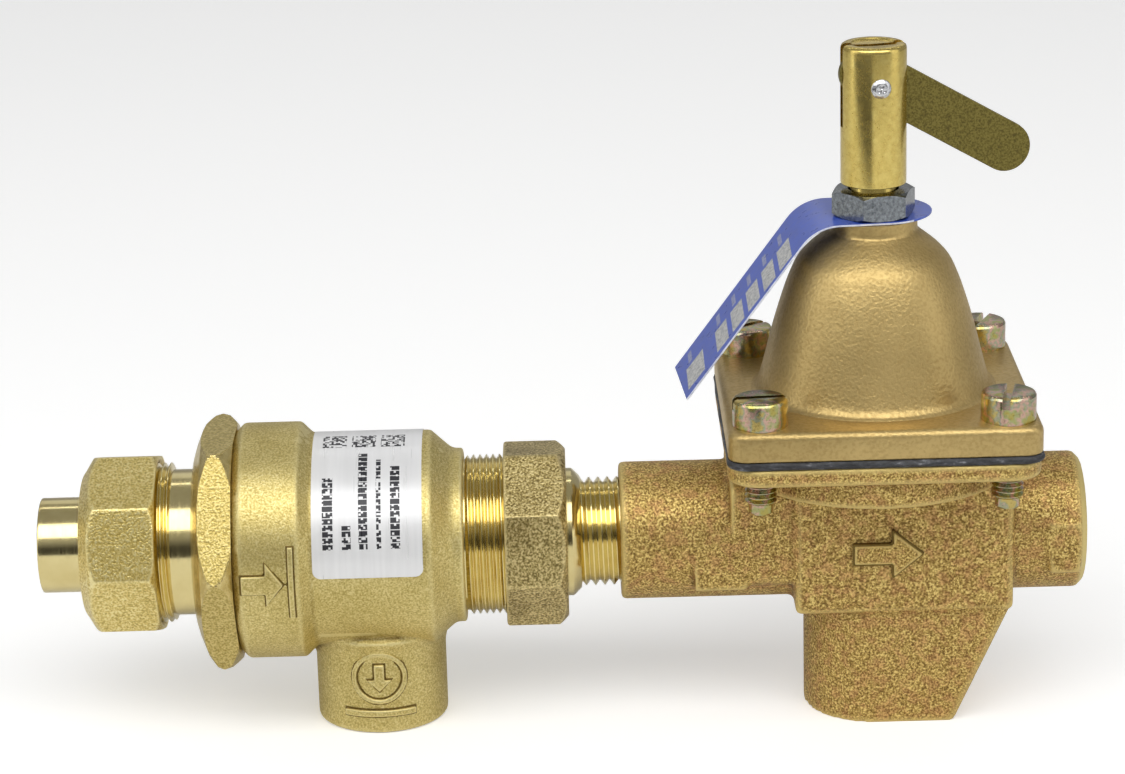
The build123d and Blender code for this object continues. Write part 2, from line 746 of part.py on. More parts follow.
lever_angle = math.radians(lever_turn)
lever_plane = Plane(
    origin=(regulator_x, 0, pin_z),
    x_dir=(math.cos(lever_angle), math.sin(lever_angle), 0),
    z_dir=(math.sin(lever_angle), -math.cos(lever_angle), 0),
)
droop = math.radians(lever_droop)
lever_blade_plane = Plane(
    origin=lever_plane.origin,
    x_dir=(
        math.cos(lever_angle) * math.cos(droop),
        math.sin(lever_angle) * math.cos(droop),
        -math.sin(droop),
    ),
    z_dir=lever_plane.z_dir,
)
lever_thickness = 1.6
slot_width = 1.9
push_bore_radius = 1.95
rod_bore_top = pin_z - 4.2
with BuildPart() as adjusting_screw:
    revolve(
        on_z([
            (push_bore_radius, button_z[1] + 0.05), (4.3, button_z[1] + 0.05),
            *flip(ridges(
                button_z[1] + 0.5, 67.8, screw_thread_crest, screw_thread_root, screw_thread_pitch
            )),
            (screw_thread_root, 68.6), (screw_thread_root, stem_z[0]), (stem_radius - 0.3, stem_z[0]),
            (stem_radius, stem_z[0] + 0.3), (stem_radius, stem_z[1] - 0.9),
            (stem_radius - 0.9, stem_z[1]), (4.6, stem_z[1]), (4.2, stem_z[1] - 0.35),
            (push_bore_radius, stem_z[1] - 0.5),
        ]),
        axis=regulator_axis,
    )
    # the push rod's bore stops in the lever slot, and the end above it is solid
    with BuildSketch(Plane.XY.offset(rod_bore_top)):
        with Locations((regulator_x, 0)):
            Circle(push_bore_radius)
    extrude(amount=stem_z[1] - 0.5 - rod_bore_top)
    with BuildSketch(lever_plane):
        with Locations((0, (slot_floor_z + stem_z[1] + 2) / 2 - pin_z)):
            Rectangle(20, stem_z[1] + 2 - slot_floor_z)
    extrude(amount=slot_width / 2, both=True, mode=Mode.SUBTRACT)
    with BuildSketch(lever_plane):
        Circle(1.56)
    extrude(amount=10, both=True, mode=Mode.SUBTRACT)
    # spot faces that seat the rivet's two heads
    for side in (1, -1):
        with BuildSketch(lever_plane.offset(side * 5.95)):
            Circle(2.0)
        extrude(amount=side * 2, mode=Mode.SUBTRACT)
save(adjusting_screw.part, "adjusting_screw")

pin_plane = Plane(origin=lever_plane.origin, x_dir=lever_plane.z_dir, z_dir=(0, 0, 1))
with BuildPart() as lever_pin:
    revolve(
        section(pin_plane, [
            (-6.75, 0), (-6.75, 1.2), (-6.5, 1.75), (-6.2, 1.95), (-5.95, 1.95), (-5.95, 1.55),
            (5.95, 1.55), (5.95, 1.95), (6.2, 1.95), (6.5, 1.75), (6.75, 1.2), (6.75, 0),
        ]),
        axis=Axis(lever_plane.origin, lever_plane.z_dir),
    )
save(lever_pin.part, "lever_pin")

with BuildPart() as fill_lever:
    with BuildSketch(lever_blade_plane):
        with BuildLine():
            Line((-3.6, -3.83), (29.2, -3.83))
            ThreePointArc((29.2, -3.83), (34.0, 0.97), (29.2, 5.77))
            Line((29.2, 5.77), (-2.5, 5.77))
            ThreePointArc((-2.5, 5.77), (-5.8, 3.4), (-7.3, 0.3))
            ThreePointArc((-7.3, 0.3), (-6.3, -2.4), (-3.6, -3.83))
        make_face()
        Circle(1.6, mode=Mode.SUBTRACT)
    extrude(amount=lever_thickness / 2, both=True)
save(fill_lever.part, "fill_lever")

with BuildPart() as fill_push_rod:
    rod_radius = push_bore_radius - running
    rod_top = pin_z - 4.95
    revolve(
        on_z([
            (0, 29.2), (rod_radius - 0.4, 29.2), (rod_radius, 29.6), (rod_radius, rod_top - 0.7),
            (1.2, rod_top - 0.2), (0.5, rod_top), (0, rod_top),
        ]),
        axis=regulator_axis,
    )
save(fill_push_rod.part, "fill_push_rod")

with BuildPart() as lock_nut:
    with BuildSketch(Plane.XY.offset(lock_nut_z[0])):
        with Locations((regulator_x, 0)):
            RegularPolygon(14.3 / 2, 6, major_radius=False, rotation=12)
    extrude(amount=lock_nut_z[1] - lock_nut_z[0])
    revolve(
        on_z([
            (0, lock_nut_z[0]), (7.2, lock_nut_z[0]), (8.3, lock_nut_z[0] + 0.65),
            (8.3, lock_nut_z[1] - 0.65), (7.2, lock_nut_z[1]), (0, lock_nut_z[1]),
        ]),
        axis=regulator_axis,
        mode=Mode.INTERSECT,
    )
    with BuildSketch(Plane.XY.offset(lock_nut_z[0])):
        with Locations((regulator_x, 0)):
            Circle(screw_thread_crest + running)
    extrude(amount=10, mode=Mode.SUBTRACT)
save(lock_nut.part, "lock_nut")

# ---- hang tag clamped under the lock nut --------------------------------------------------
tag_turn = math.radians(4.0)
tag_half_width = 10.2
tag_z = 62.65
tag_origin = (regulator_x + 1.2, 2.7, 0)
tag_side = Plane(
    origin=tag_origin,
    x_dir=(math.cos(tag_turn), math.sin(tag_turn), 0),
    z_dir=(math.sin(tag_turn), -math.cos(tag_turn), 0),
)
tag_flat = Plane(
    origin=tag_origin, x_dir=(math.cos(tag_turn), math.sin(tag_turn), 0), z_dir=(0, 0, 1)
)
with BuildPart() as hang_tag:
    with BuildSketch(tag_side):
        with BuildLine():
            FilletPolyline((11, tag_z), (-13.4, tag_z), (-38.4, 29.8), radius=9)
        trace(line_width=0.4)
    extrude(amount=tag_half_width, both=True)
    with BuildSketch(tag_flat):
        Circle(tag_half_width)
        with Locations((-22.5, 0)):
            Rectangle(45, 2 * tag_half_width)
    extrude(amount=80, mode=Mode.INTERSECT)
    with BuildSketch(Plane.XY.offset(50)):
        with Locations((regulator_x, 0)):
            Circle(5.0)
    extrude(amount=20, mode=Mode.SUBTRACT)
save(hang_tag.part, "hang_tag")
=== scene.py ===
import json
import math

import bmesh
import bpy
from mathutils import Matrix, Vector


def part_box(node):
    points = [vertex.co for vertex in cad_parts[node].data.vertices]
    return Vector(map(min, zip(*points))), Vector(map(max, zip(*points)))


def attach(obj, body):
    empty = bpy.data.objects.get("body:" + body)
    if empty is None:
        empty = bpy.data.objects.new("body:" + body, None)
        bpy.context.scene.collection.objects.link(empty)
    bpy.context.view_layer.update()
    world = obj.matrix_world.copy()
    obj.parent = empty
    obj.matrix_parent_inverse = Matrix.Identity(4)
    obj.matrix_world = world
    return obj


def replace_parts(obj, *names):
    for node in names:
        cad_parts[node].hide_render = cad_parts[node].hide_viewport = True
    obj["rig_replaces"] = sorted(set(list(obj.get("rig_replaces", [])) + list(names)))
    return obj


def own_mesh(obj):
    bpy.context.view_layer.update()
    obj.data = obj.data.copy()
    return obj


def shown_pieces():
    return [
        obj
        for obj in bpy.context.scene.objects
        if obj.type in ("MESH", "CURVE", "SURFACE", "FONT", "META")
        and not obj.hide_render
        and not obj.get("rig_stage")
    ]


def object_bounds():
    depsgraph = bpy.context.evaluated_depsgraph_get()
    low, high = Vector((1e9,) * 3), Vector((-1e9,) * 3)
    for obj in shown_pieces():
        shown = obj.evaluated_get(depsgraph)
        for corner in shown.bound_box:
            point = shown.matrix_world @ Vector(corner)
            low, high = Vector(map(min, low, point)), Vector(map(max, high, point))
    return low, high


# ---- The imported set, and the studio it stands in ----
# A pale table that glows softly, a wide soft box above and in front, and a thin strip light
# above and behind. A dim card low in front shows only in polished metal, where it draws the
# dark band of a turned surface.
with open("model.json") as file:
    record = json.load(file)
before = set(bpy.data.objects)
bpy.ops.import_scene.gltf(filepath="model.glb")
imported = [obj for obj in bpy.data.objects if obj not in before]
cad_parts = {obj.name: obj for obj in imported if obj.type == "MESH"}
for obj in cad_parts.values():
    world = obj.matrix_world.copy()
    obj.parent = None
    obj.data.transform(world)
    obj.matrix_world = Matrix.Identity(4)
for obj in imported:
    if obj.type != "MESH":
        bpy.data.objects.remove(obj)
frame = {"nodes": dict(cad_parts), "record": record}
cad_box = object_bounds()
mm = 0.001
foot_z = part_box("backflow_body")[0].z
middle = (cad_box[0] + cad_box[1]) / 2
scene = bpy.context.scene
scene.view_settings.view_transform = "Standard"


def shader_graph(name, kind="material"):
    """An empty material or world of that name, and the nodes of its tree."""
    owner = bpy.data.materials.new(name) if kind == "material" else bpy.data.worlds.new(name)
    owner.use_nodes = True
    owner.node_tree.nodes.clear()
    return owner, owner.node_tree.nodes


def link(start, end):
    """Joins two sockets of one node tree."""
    end.id_data.links.new(start, end)


def surface(name, metallic, roughness):
    """A material with a Principled shader wired to its output."""
    owner, nodes = shader_graph(name)
    shader = nodes.new("ShaderNodeBsdfPrincipled")
    shader.inputs["Metallic"].default_value = metallic
    shader.inputs["Roughness"].default_value = roughness
    link(shader.outputs[0], nodes.new("ShaderNodeOutputMaterial").inputs[0])
    return owner, nodes, shader


def coordinates(nodes, kind="Object"):
    """The X, Y and Z of a shading point."""
    place = nodes.new("ShaderNodeTexCoord")
    split = nodes.new("ShaderNodeSeparateXYZ")
    link(place.outputs[kind], split.inputs[0])
    return split.outputs


def between(nodes, value, low, high, start=0.3, end=0.7):
    """A value's stretch from start to end, mapped to low to high."""
    span = nodes.new("ShaderNodeMapRange")
    for name, number in (("From Min", start), ("From Max", end), ("To Min", low), ("To Max", high)):
        span.inputs[name].default_value = number
    link(value, span.inputs["Value"])
    return span.outputs[0]


def card(name, width, height, centre, facing):
    """A flat rectangle that faces a direction."""
    bm = bmesh.new()
    bmesh.ops.create_grid(bm, x_segments=1, y_segments=1, size=0.5)
    bmesh.ops.scale(bm, vec=(width, height, 1), verts=bm.verts)
    turn = facing.to_track_quat("Z", "Y").to_matrix()
    bmesh.ops.transform(bm, matrix=turn, verts=bm.verts, space=Matrix())
    bmesh.ops.translate(bm, vec=centre, verts=bm.verts)
    mesh = bpy.data.meshes.new(name)
    bm.to_mesh(mesh)
    bm.free()
    piece = bpy.data.objects.new(name, mesh)
    scene.collection.objects.link(piece)
    piece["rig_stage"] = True
    return piece


table = card("studio_table", 6.0, 6.0, Vector((middle.x, 0, foot_z)), Vector((0, 0, 1)))
paint, nodes, shader = surface("matt_table", 0.0, 0.7)
shader.inputs["Base Color"].default_value = (0.86, 0.86, 0.855, 1)
shader.inputs["Emission Color"].default_value = (1, 1, 1, 1)
seen = nodes.new("ShaderNodeLightPath").outputs["Is Camera Ray"]
table_glow = 0.34
link(between(nodes, seen, 0.0, table_glow, 0, 1), shader.inputs["Emission Strength"])
table.data.materials.append(paint)

card_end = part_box("diaphragm")[0].x
card_width, card_height, card_distance, card_gap = 0.7, 0.17, 0.20, 0.02
card_middle = foot_z + card_gap + card_height / 2
card_centre = Vector((card_end - card_width / 2, -card_distance, card_middle))
dim_card = card("dim_card", card_width, card_height, card_centre, Vector((0, 1, 0)))
paint, nodes = shader_graph("dim_card")
glow = nodes.new("ShaderNodeEmission")
ramp = nodes.new("ShaderNodeValToRGB")
ramp.color_ramp.elements[0].color = (0.05, 0.05, 0.05, 1)
ramp.color_ramp.elements[0].position = 0.42
ramp.color_ramp.elements[1].color = (0.34, 0.34, 0.34, 1)
ramp.color_ramp.elements[1].position = 0.75
height = coordinates(nodes)["Z"]
card_top = foot_z + card_gap + card_height
link(between(nodes, height, 0, 1, foot_z, card_top), ramp.inputs[0])
link(ramp.outputs[0], glow.inputs[0])
link(glow.outputs[0], nodes.new("ShaderNodeOutputMaterial").inputs[0])
dim_card.data.materials.append(paint)
dim_card.visible_camera = False
dim_card.visible_diffuse = False
dim_card.visible_shadow = False


def soft_light(name, power, size, centre):
    """A rectangular area light that looks at the set."""
    light = bpy.data.lights.new(name, "AREA")
    light.shape = "RECTANGLE"
    light.size, light.size_y = size
    light.energy = power
    lamp = bpy.data.objects.new(name, light)
    lamp.location = centre
    towards = Vector((middle.x, 0, 0)) - Vector(centre)
    lamp.rotation_euler = towards.to_track_quat("-Z", "Y").to_euler()
    scene.collection.objects.link(lamp)


def around(elevation, distance):
    """A point above the set, by its elevation from the front horizon over the top."""
    turn = math.radians(elevation)
    return Vector((middle.x, -distance * math.cos(turn), distance * math.sin(turn)))


soft_light("soft_box", 7.0, (1.6, 0.55), around(54.5, 0.85))
soft_light("strip_light", 0.6, (1.6, 0.035), around(124, 0.95))
soft_light("side_box_left", 1.5, (0.5, 0.8), (middle.x - 0.95, -0.25, 0.35))
soft_light("side_box_right", 1.0, (0.5, 0.8), (middle.x + 0.95, -0.25, 0.35))
soft_light("back_box", 0.5, (1.2, 0.4), around(150, 1.1))

world, nodes = shader_graph("studio", "world")
scene.world = world
sky = nodes.new("ShaderNodeBackground")
depth = coordinates(nodes, "Generated")["Y"]
dim_sky, bright_sky = 0.34, 0.38
choose = nodes.new("ShaderNodeMix")
choose.data_type = "FLOAT"
choose.inputs[3].default_value = 1.0
link(nodes.new("ShaderNodeLightPath").outputs["Is Camera Ray"], choose.inputs[0])
link(between(nodes, depth, dim_sky, bright_sky, -0.8, 0.8), choose.inputs[2])
link(choose.outputs[0], sky.inputs["Strength"])
link(sky.outputs[0], nodes.new("ShaderNodeOutputWorld").inputs[0])

# the camera looks a little down on the set from the front, with a long lens
lens = bpy.data.cameras.new("camera")
lens.sensor_width = 36.0
lens.lens = 115.55
camera = bpy.data.objects.new("camera", lens)
yaw, pitch, roll = (math.radians(angle) for angle in (0.056, 17.806, -1.506))
ahead = math.cos(pitch)
forward = Vector((math.sin(yaw) * ahead, math.cos(yaw) * ahead, -math.sin(pitch)))
level = Vector((math.cos(yaw), -math.sin(yaw), 0))
upright = level.cross(forward)
right = math.cos(roll) * level + math.sin(roll) * upright
above = math.cos(roll) * upright - math.sin(roll) * level
turn = Matrix((right, above, -forward)).transposed().to_4x4()
camera.matrix_world = Matrix.Translation((0.101786, -0.664545, 0.243160)) @ turn
scene.collection.objects.link(camera)
scene.camera = camera

# ---- Inlet tailpiece ----
# The solder cup for the copper tube: turned from brass rod, bright, with fine tool rings.
# Its collar sits inside the union nut, against the gasket.
pipe = Vector((1, 0, 0))


def turned(outline, axis=pipe, centre=Vector(), steps=128):
    """A spun solid. The outline is a closed run of (along, radius, corner radius) points."""
    bm = bmesh.new()
    side = Vector((0, 0, 1)) if axis.x else Vector((1, 0, 0))
    previous, following = outline[-1:] + outline[:-1], outline[1:] + outline[:1]
    for point, before, after in zip(outline, previous, following):
        here, start, end = (Vector(p[:2]) for p in (point, before, after))
        ease = point[2] if len(point) > 2 else 0
        shares = (0,) if not ease else (0, 0.25, 0.5, 0.75, 1)
        for share in shares:
            into = here + (start - here).normalized() * ease
            out = here + (end - here).normalized() * ease
            at = into * (1 - share) ** 2 + here * (2 * share * (1 - share)) + out * share ** 2
            along, radius = at if ease else here
            bm.verts.new(centre + axis * along + side * radius)
    ring = list(bm.verts)
    for pair in zip(ring, ring[1:] + ring[:1]):
        bm.edges.new(pair)
    bmesh.ops.spin(
        bm, geom=bm.verts[:] + bm.edges[:], cent=centre, axis=axis, dvec=(0, 0, 0),
        angle=2 * math.pi, steps=steps, use_merge=True,
    )
    bmesh.ops.remove_doubles(bm, verts=bm.verts, dist=1e-6)
    bmesh.ops.delete(bm, geom=[edge for edge in bm.edges if edge.is_wire], context="EDGES")
    bmesh.ops.recalc_face_normals(bm, faces=bm.faces)
    return bm


def piece_of(name, bm, crease=32):
    """A mesh object of a bmesh, smooth but for edges sharper than the crease angle."""
    mesh = bpy.data.meshes.new(name)
    bm.to_mesh(mesh)
    bm.free()
    for face in mesh.polygons:
        face.use_smooth = True
    mesh.set_sharp_from_angle(angle=math.radians(crease))
    piece = bpy.data.objects.new(name, mesh)
    scene.collection.objects.link(piece)
    return piece


def fit(piece, material, body, slot, *stands_for):
    """Gives a finished piece its material, its body and the CAD nodes that it stands for."""
    piece.data.materials.clear()
    piece.data.materials.append(material)
    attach(piece, body)
    if stands_for:
        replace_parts(piece, *stands_for)
    return piece


def spread(nodes, scale, detail=2.0, roughness=0.5, stretch=(1, 1, 1)):
    """Noise over Object coordinates; scale counts features in a metre."""
    place = nodes.new("ShaderNodeTexCoord")
    mapping = nodes.new("ShaderNodeMapping")
    mapping.inputs["Scale"].default_value = stretch
    noise = nodes.new("ShaderNodeTexNoise")
    noise.inputs["Scale"].default_value = scale
    noise.inputs["Detail"].default_value = detail
    noise.inputs["Roughness"].default_value = roughness
    link(place.outputs["Object"], mapping.inputs[0])
    link(mapping.outputs[0], noise.inputs["Vector"])
    return noise.outputs[0]


def tinted(nodes, value, *stops):
    """Colours along a value, each stop a (position, (red, green, blue))."""
    ramp = nodes.new("ShaderNodeValToRGB")
    elements = ramp.color_ramp.elements
    while len(elements) < len(stops):
        elements.new(0.5)
    for element, (position, colour) in zip(elements, stops):
        element.position = position
        element.color = (*colour, 1)
    link(value, ramp.inputs[0])
    return ramp.outputs[0]


def relief(nodes, shader, value, depth, under=None):
    """Raises the surface by a value times the depth, on top of another relief."""
    bump = nodes.new("ShaderNodeBump")
    bump.inputs["Distance"].default_value = depth
    link(value, bump.inputs["Height"])
    if under:
        link(under, bump.inputs["Normal"])
    link(bump.outputs[0], shader.inputs["Normal"])
    return bump.outputs[0]


def painted(shader, colour, roughness):
    """Gives a shader its colour and its roughness."""
    link(colour, shader.inputs["Base Color"])
    link(roughness, shader.inputs["Roughness"])


def turned_metal(name, colours, along, roughness=(0.10, 0.22)):
    """Machined metal: fine rings across the lathe's axis, and a faint tarnish."""
    material, nodes, shader = surface(name, 1.0, 0.2)
    stretch = tuple(1.0 if axis == along else 0.012 for axis in "xyz")
    rings = spread(nodes, 3600, 3, 0.7, stretch)
    tarnish_and_painted_shade = spread(nodes, 140, 3, 0.6)
    colour = tinted(nodes, tarnish_and_painted_shade, (0.3, colours[0]), (0.7, colours[1]))
    painted(shader, colour, between(nodes, rings, *roughness))
    relief(nodes, shader, rings, 0.0015 * mm)
    return material


brass_tones = ((0.76, 0.63, 0.29), (0.86, 0.74, 0.37))
bright_brass_x = turned_metal("bright_brass_pipe", brass_tones, "x")

low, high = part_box("inlet_tailpiece")
collar_radius = high.z
collar_x = high.x - 3.0 * mm
cup_radius, wall_radius, bore_radius, cup_end = 8.0 * mm, 9.3 * mm, 7.0 * mm, low.x + 12.9 * mm
tailpiece = piece_of("inlet_tailpiece_turned", turned([
    (low.x, cup_radius, 0.2 * mm), (low.x, wall_radius, 0.45 * mm),
    (collar_x, wall_radius, 0.2 * mm), (collar_x, collar_radius, 0.3 * mm),
    (high.x, collar_radius, 0.3 * mm), (high.x, bore_radius, 0.2 * mm), (cup_end, bore_radius),
    (cup_end, cup_radius),
]))
fit(tailpiece, bright_brass_x, "valve_set", "machined_brass", "inlet_tailpiece")

# ---- Inlet union nut ----
# Eight-sided, hot-forged brass, blasted to a coarse bright grain. It turns on the tailpiece and
# pulls it on to the inlet cap's thread.


def merged_copy(node):
    """A CAD node's mesh as a bmesh with its loose triangles joined."""
    bm = bmesh.new()
    bm.from_mesh(frame["nodes"][node].data)
    bmesh.ops.remove_doubles(bm, verts=bm.verts, dist=1e-6)
    return bm


def settled(piece):
    """Applies a piece's modifiers to its mesh."""
    evaluated = piece.evaluated_get(bpy.context.evaluated_depsgraph_get())
    mesh = bpy.data.meshes.new_from_object(evaluated)
    piece.modifiers.clear()
    piece.data = mesh
    return piece


def cast(piece, grid, passes, crease=180):
    """Softens a piece's edges as casting or forging does: joins its shells, then eases them."""
    remesh = piece.modifiers.new("skin", "REMESH")
    remesh.mode = "VOXEL"
    remesh.voxel_size = grid
    ease = piece.modifiers.new("ease", "SMOOTH")
    ease.factor = 0.5
    ease.iterations = passes
    settled(piece)
    for face in piece.data.polygons:
        face.use_smooth = True
    piece.data.set_sharp_from_angle(angle=math.radians(crease))
    return piece


def blended(nodes, share, first, second, how="MIX"):
    """A colour mixed by a share with a second one, which may be a plain (red, green, blue)."""
    mix = nodes.new("ShaderNodeMix")
    mix.data_type = "RGBA"
    mix.blend_type = how
    link(share, mix.inputs[0])
    link(first, mix.inputs[6])
    if isinstance(second, tuple):
        mix.inputs[7].default_value = (*second, 1)
    else:
        link(second, mix.inputs[7])
    return mix.outputs[2]


def edge_wear_highlight_and_shade(nodes, colour, bright, gain=1.0):
    """Lightens worn outer edges, with a painted highlight; inner corners get painted shade."""
    bend = nodes.new("ShaderNodeNewGeometry").outputs["Pointiness"]
    # outer edges lightened: handling wear and a painted highlight
    edge = between(nodes, bend, 0.0, gain, 0.506, 0.54)
    # inner corners darkened: painted shade
    corner = between(nodes, bend, 1.0, 0.0, 0.455, 0.492)
    rubbed_and_highlit = blended(nodes, edge, colour, bright)
    return blended(nodes, corner, rubbed_and_highlit, (0.42, 0.36, 0.28), "MULTIPLY")


def grained_metal(name, stops, grain, depth, roughness, metallic=1.0, patches=None):
    """Blasted or cast metal: speckled tones and relief of one grain size, over broad patches."""
    material, nodes, shader = surface(name, metallic, 0.4)
    speckle = spread(nodes, 1 / grain, 2.5)
    colour = tinted(nodes, speckle, *stops)
    if patches:
        broad = between(nodes, spread(nodes, 75, 3, 0.55), 0.0, 1.0, 0.38, 0.66)
        colour = blended(nodes, broad, colour, patches, "MULTIPLY")
    # worn edges with a painted highlight, and painted shade in inner corners
    painted(
        shader, edge_wear_highlight_and_shade(nodes, colour, stops[-1][1], 0.8),
        between(nodes, speckle, roughness[1], roughness[0]),
    )
    relief(nodes, shader, speckle, depth)
    return material


forged_grain = grained_metal(
    "coarse_blasted_brass",
    [(0.36, (0.53, 0.40, 0.115)), (0.5, (0.80, 0.63, 0.215)), (0.62, (0.96, 0.84, 0.42))],
    0.42 * mm, 0.13 * mm, (0.28, 0.42), 0.80, (0.90, 0.88, 0.80),
)
nut = cast(piece_of("inlet_union_nut_forged", merged_copy("inlet_union_nut")), 0.30 * mm, 4)
fit(nut, forged_grain, "inlet_nut", "forged_brass", "inlet_union_nut")

# ---- Inlet cap ----
# One forging closes the body: a hexagon with blasted flats, chamfered on both faces in the
# lathe, then a turned collar and the union thread that the nut draws up on.


def sliced(bm, point, normal, clear=False):
    """Cuts a bmesh by a plane, and may clear what lies beyond it."""
    bmesh.ops.bisect_plane(
        bm, geom=bm.verts[:] + bm.edges[:] + bm.faces[:], plane_co=point, plane_no=normal,
        clear_outer=clear, dist=1e-7,
    )


def helix_thread(start, end, crest, root, pitch, steps=72):
    """A right-handed thread about the pipe line, cut square at both ends; also its end rims."""
    bm = bmesh.new()
    turns = math.ceil((end - start) / pitch) + 2
    first = start - 1.5 * pitch
    profile = [(0, root), (0.40, crest), (0.52, crest), (0.92, root), (1, root)]
    ring = [bm.verts.new((first + share * pitch, 0, radius)) for share, radius in profile]
    for pair in zip(ring, ring[1:]):
        bm.edges.new(pair)
    bmesh.ops.spin(
        bm, geom=bm.verts[:] + bm.edges[:], cent=(0, 0, 0), axis=pipe, dvec=pipe * (pitch / steps),
        angle=2 * math.pi * turns, steps=steps * turns,
    )
    bmesh.ops.remove_doubles(bm, verts=bm.verts, dist=2e-6)
    for plane, side in ((start, -1), (end, 1)):
        sliced(bm, (plane, 0, 0), (side, 0, 0), True)
    open_edges = [edge for edge in bm.edges if edge.is_boundary]
    rims = [
        [edge for edge in open_edges if all(abs(v.co.x - plane) < 1e-6 for v in edge.verts)]
        for plane in (start, end)
    ]
    return bm, rims


def carry_on(bm, rim, stations):
    """Draws an open rim on through (along, radius) stations, a band of faces each."""
    for along, radius in stations:
        made = bmesh.ops.extrude_edge_only(bm, edges=rim)["geom"]
        rim = [part for part in made if isinstance(part, bmesh.types.BMEdge) and part.is_boundary]
        for vertex in {vertex for edge in rim for vertex in edge.verts}:
            outward = Vector((0, vertex.co.y, vertex.co.z)).normalized()
            vertex.co = Vector((along, 0, 0)) + outward * radius
    return rim


def threaded_piece(name, thread, before, after):
    """A threaded, hollow turned piece: the thread, and what the lathe cut on each side of it."""
    bm, (left, right) = helix_thread(*thread)
    bmesh.ops.bridge_loops(bm, edges=carry_on(bm, left, before) + carry_on(bm, right, after))
    bmesh.ops.recalc_face_normals(bm, faces=bm.faces)
    return piece_of(name, bm, 28)


union_thread = (15.6 * mm, 14.8 * mm, 1.27 * mm)
low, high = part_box("inlet_cap")
hexagon_x = (high.x - 23.0 * mm, high.x - 14.3 * mm)
cap_neck, cap_bore, cap_hollow, step_x = 14.25 * mm, 8.0 * mm, 11.0 * mm, low.x + 19.3 * mm
cap_thread = threaded_piece(
    "inlet_cap_turned", (low.x + 0.5 * mm, low.x + 9.6 * mm, *union_thread),
    [(low.x + 0.3 * mm, 14.6 * mm), (low.x, 14.2 * mm), (low.x, cap_bore), (step_x, cap_bore)],
    [(low.x + 9.9 * mm, cap_neck), (hexagon_x[0] + 1.4 * mm, cap_neck), (high.x, cap_neck),
     (high.x, cap_hollow), (step_x, cap_hollow)],
)
fit(cap_thread, bright_brass_x, "valve_set", "machined_brass", "inlet_cap")

start, end = hexagon_x
corner_radius = 25.4 * mm
half_width = corner_radius * math.cos(math.radians(30))
lathe_cut = [
    (start + 0.6 * mm, 17.4 * mm), (start + 1.2 * mm, 19.4 * mm), (start + 2.6 * mm, 22.9 * mm),
    (start + 4.1 * mm, 24.9 * mm), (start + 5.4 * mm, 25.5 * mm), (end - 1.8 * mm, 24.9 * mm),
    (end, 22.9 * mm),
]
# short steps along the cut let the flats end on the chamfers in clean curves
fine_cut = [
    (a0 + (a1 - a0) * share / 10, r0 + (r1 - r0) * share / 10)
    for (a0, r0), (a1, r1) in zip(lathe_cut, lathe_cut[1:]) for share in range(10)
]
lathe_shape = [(start + 0.6 * mm, cap_hollow), *fine_cut, lathe_cut[-1], (end, cap_hollow)]
bm = turned(lathe_shape, steps=360)
blasted = bm.verts.layers.float.new("blasted")
for vertex in bm.verts:
    turn = math.degrees(math.atan2(vertex.co.z, vertex.co.y)) % 60 - 30
    reach = math.hypot(vertex.co.y, vertex.co.z)
    limit = half_width / math.cos(math.radians(turn))
    if reach > limit:
        vertex.co.y *= limit / reach
        vertex.co.z *= limit / reach
        vertex[blasted] = 1.0
hexagon = piece_of("inlet_cap_hexagon", bm, 14)


def joined(nodes, operation, first, second):
    """Two values under one Math operation."""
    maths = nodes.new("ShaderNodeMath")
    maths.operation = operation
    for socket, value in zip(maths.inputs, (first, second)):
        if isinstance(value, (int, float)):
            socket.default_value = value
        else:
            link(value, socket)
    return maths.outputs[0]


def hexagon_metal():
    """The hexagon's flats keep the blasted grain; its chamfers and faces are turned bright."""
    material, nodes, shader = surface("hexagon_brass", 0.85, 0.3)
    speckle = spread(nodes, 1 / (0.42 * mm), 2.5)
    mask = nodes.new("ShaderNodeAttribute")
    mask.attribute_name = "blasted"
    flat = between(nodes, mask.outputs["Fac"], 0.0, 1.0, 0.4, 0.8)
    grain = tinted(
        nodes, speckle, (0.36, (0.40, 0.30, 0.085)), (0.5, (0.58, 0.455, 0.145)),
        (0.62, (0.72, 0.59, 0.245)),
    )
    tarnish_and_painted_shade = spread(nodes, 500, 3)
    bright = tinted(nodes, tarnish_and_painted_shade, (0.35, (0.58, 0.45, 0.16)), (0.65, (0.76, 0.62, 0.27)))
    painted(shader, blended(nodes, flat, bright, grain), between(nodes, flat, 0.26, 0.36, 0, 1))
    height = joined(nodes, "MULTIPLY", between(nodes, flat, 0.2, 1.0, 0, 1), speckle)
    relief(nodes, shader, height, 0.12 * mm)
    return material


fit(hexagon, hexagon_metal(), "valve_set", "forged_brass")

# ---- Backflow preventer body ----
# A brass forging, blasted to a fine satin grain: a barrel in two steps with the vent port
# below. Raised marks are forged on it: a flow arrow, and a ring and arrow for the vent.
low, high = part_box("backflow_body")
thread_x = high.x - 12.2 * mm
vent_x = 65.3 * mm
barrel_radius = 23.0 * mm
port_radius = 12.8 * mm
bm = merged_copy("backflow_body")
# the threaded end is made apart, so the forging is cut off there and closed by a flat ring
sliced(bm, (thread_x, 0, 0), (1, 0, 0), True)
bmesh.ops.bridge_loops(bm, edges=[e for e in bm.edges if e.is_boundary])
bmesh.ops.recalc_face_normals(bm, faces=bm.faces)


def drawn_out(bm, faces, shift):
    """Extrudes faces by a shift, and returns the faces at its end."""
    made = bmesh.ops.extrude_face_region(bm, geom=faces)["geom"]
    moved = [part for part in made if isinstance(part, bmesh.types.BMVert)]
    bmesh.ops.translate(bm, verts=moved, vec=shift)
    return [part for part in made if isinstance(part, bmesh.types.BMFace)]


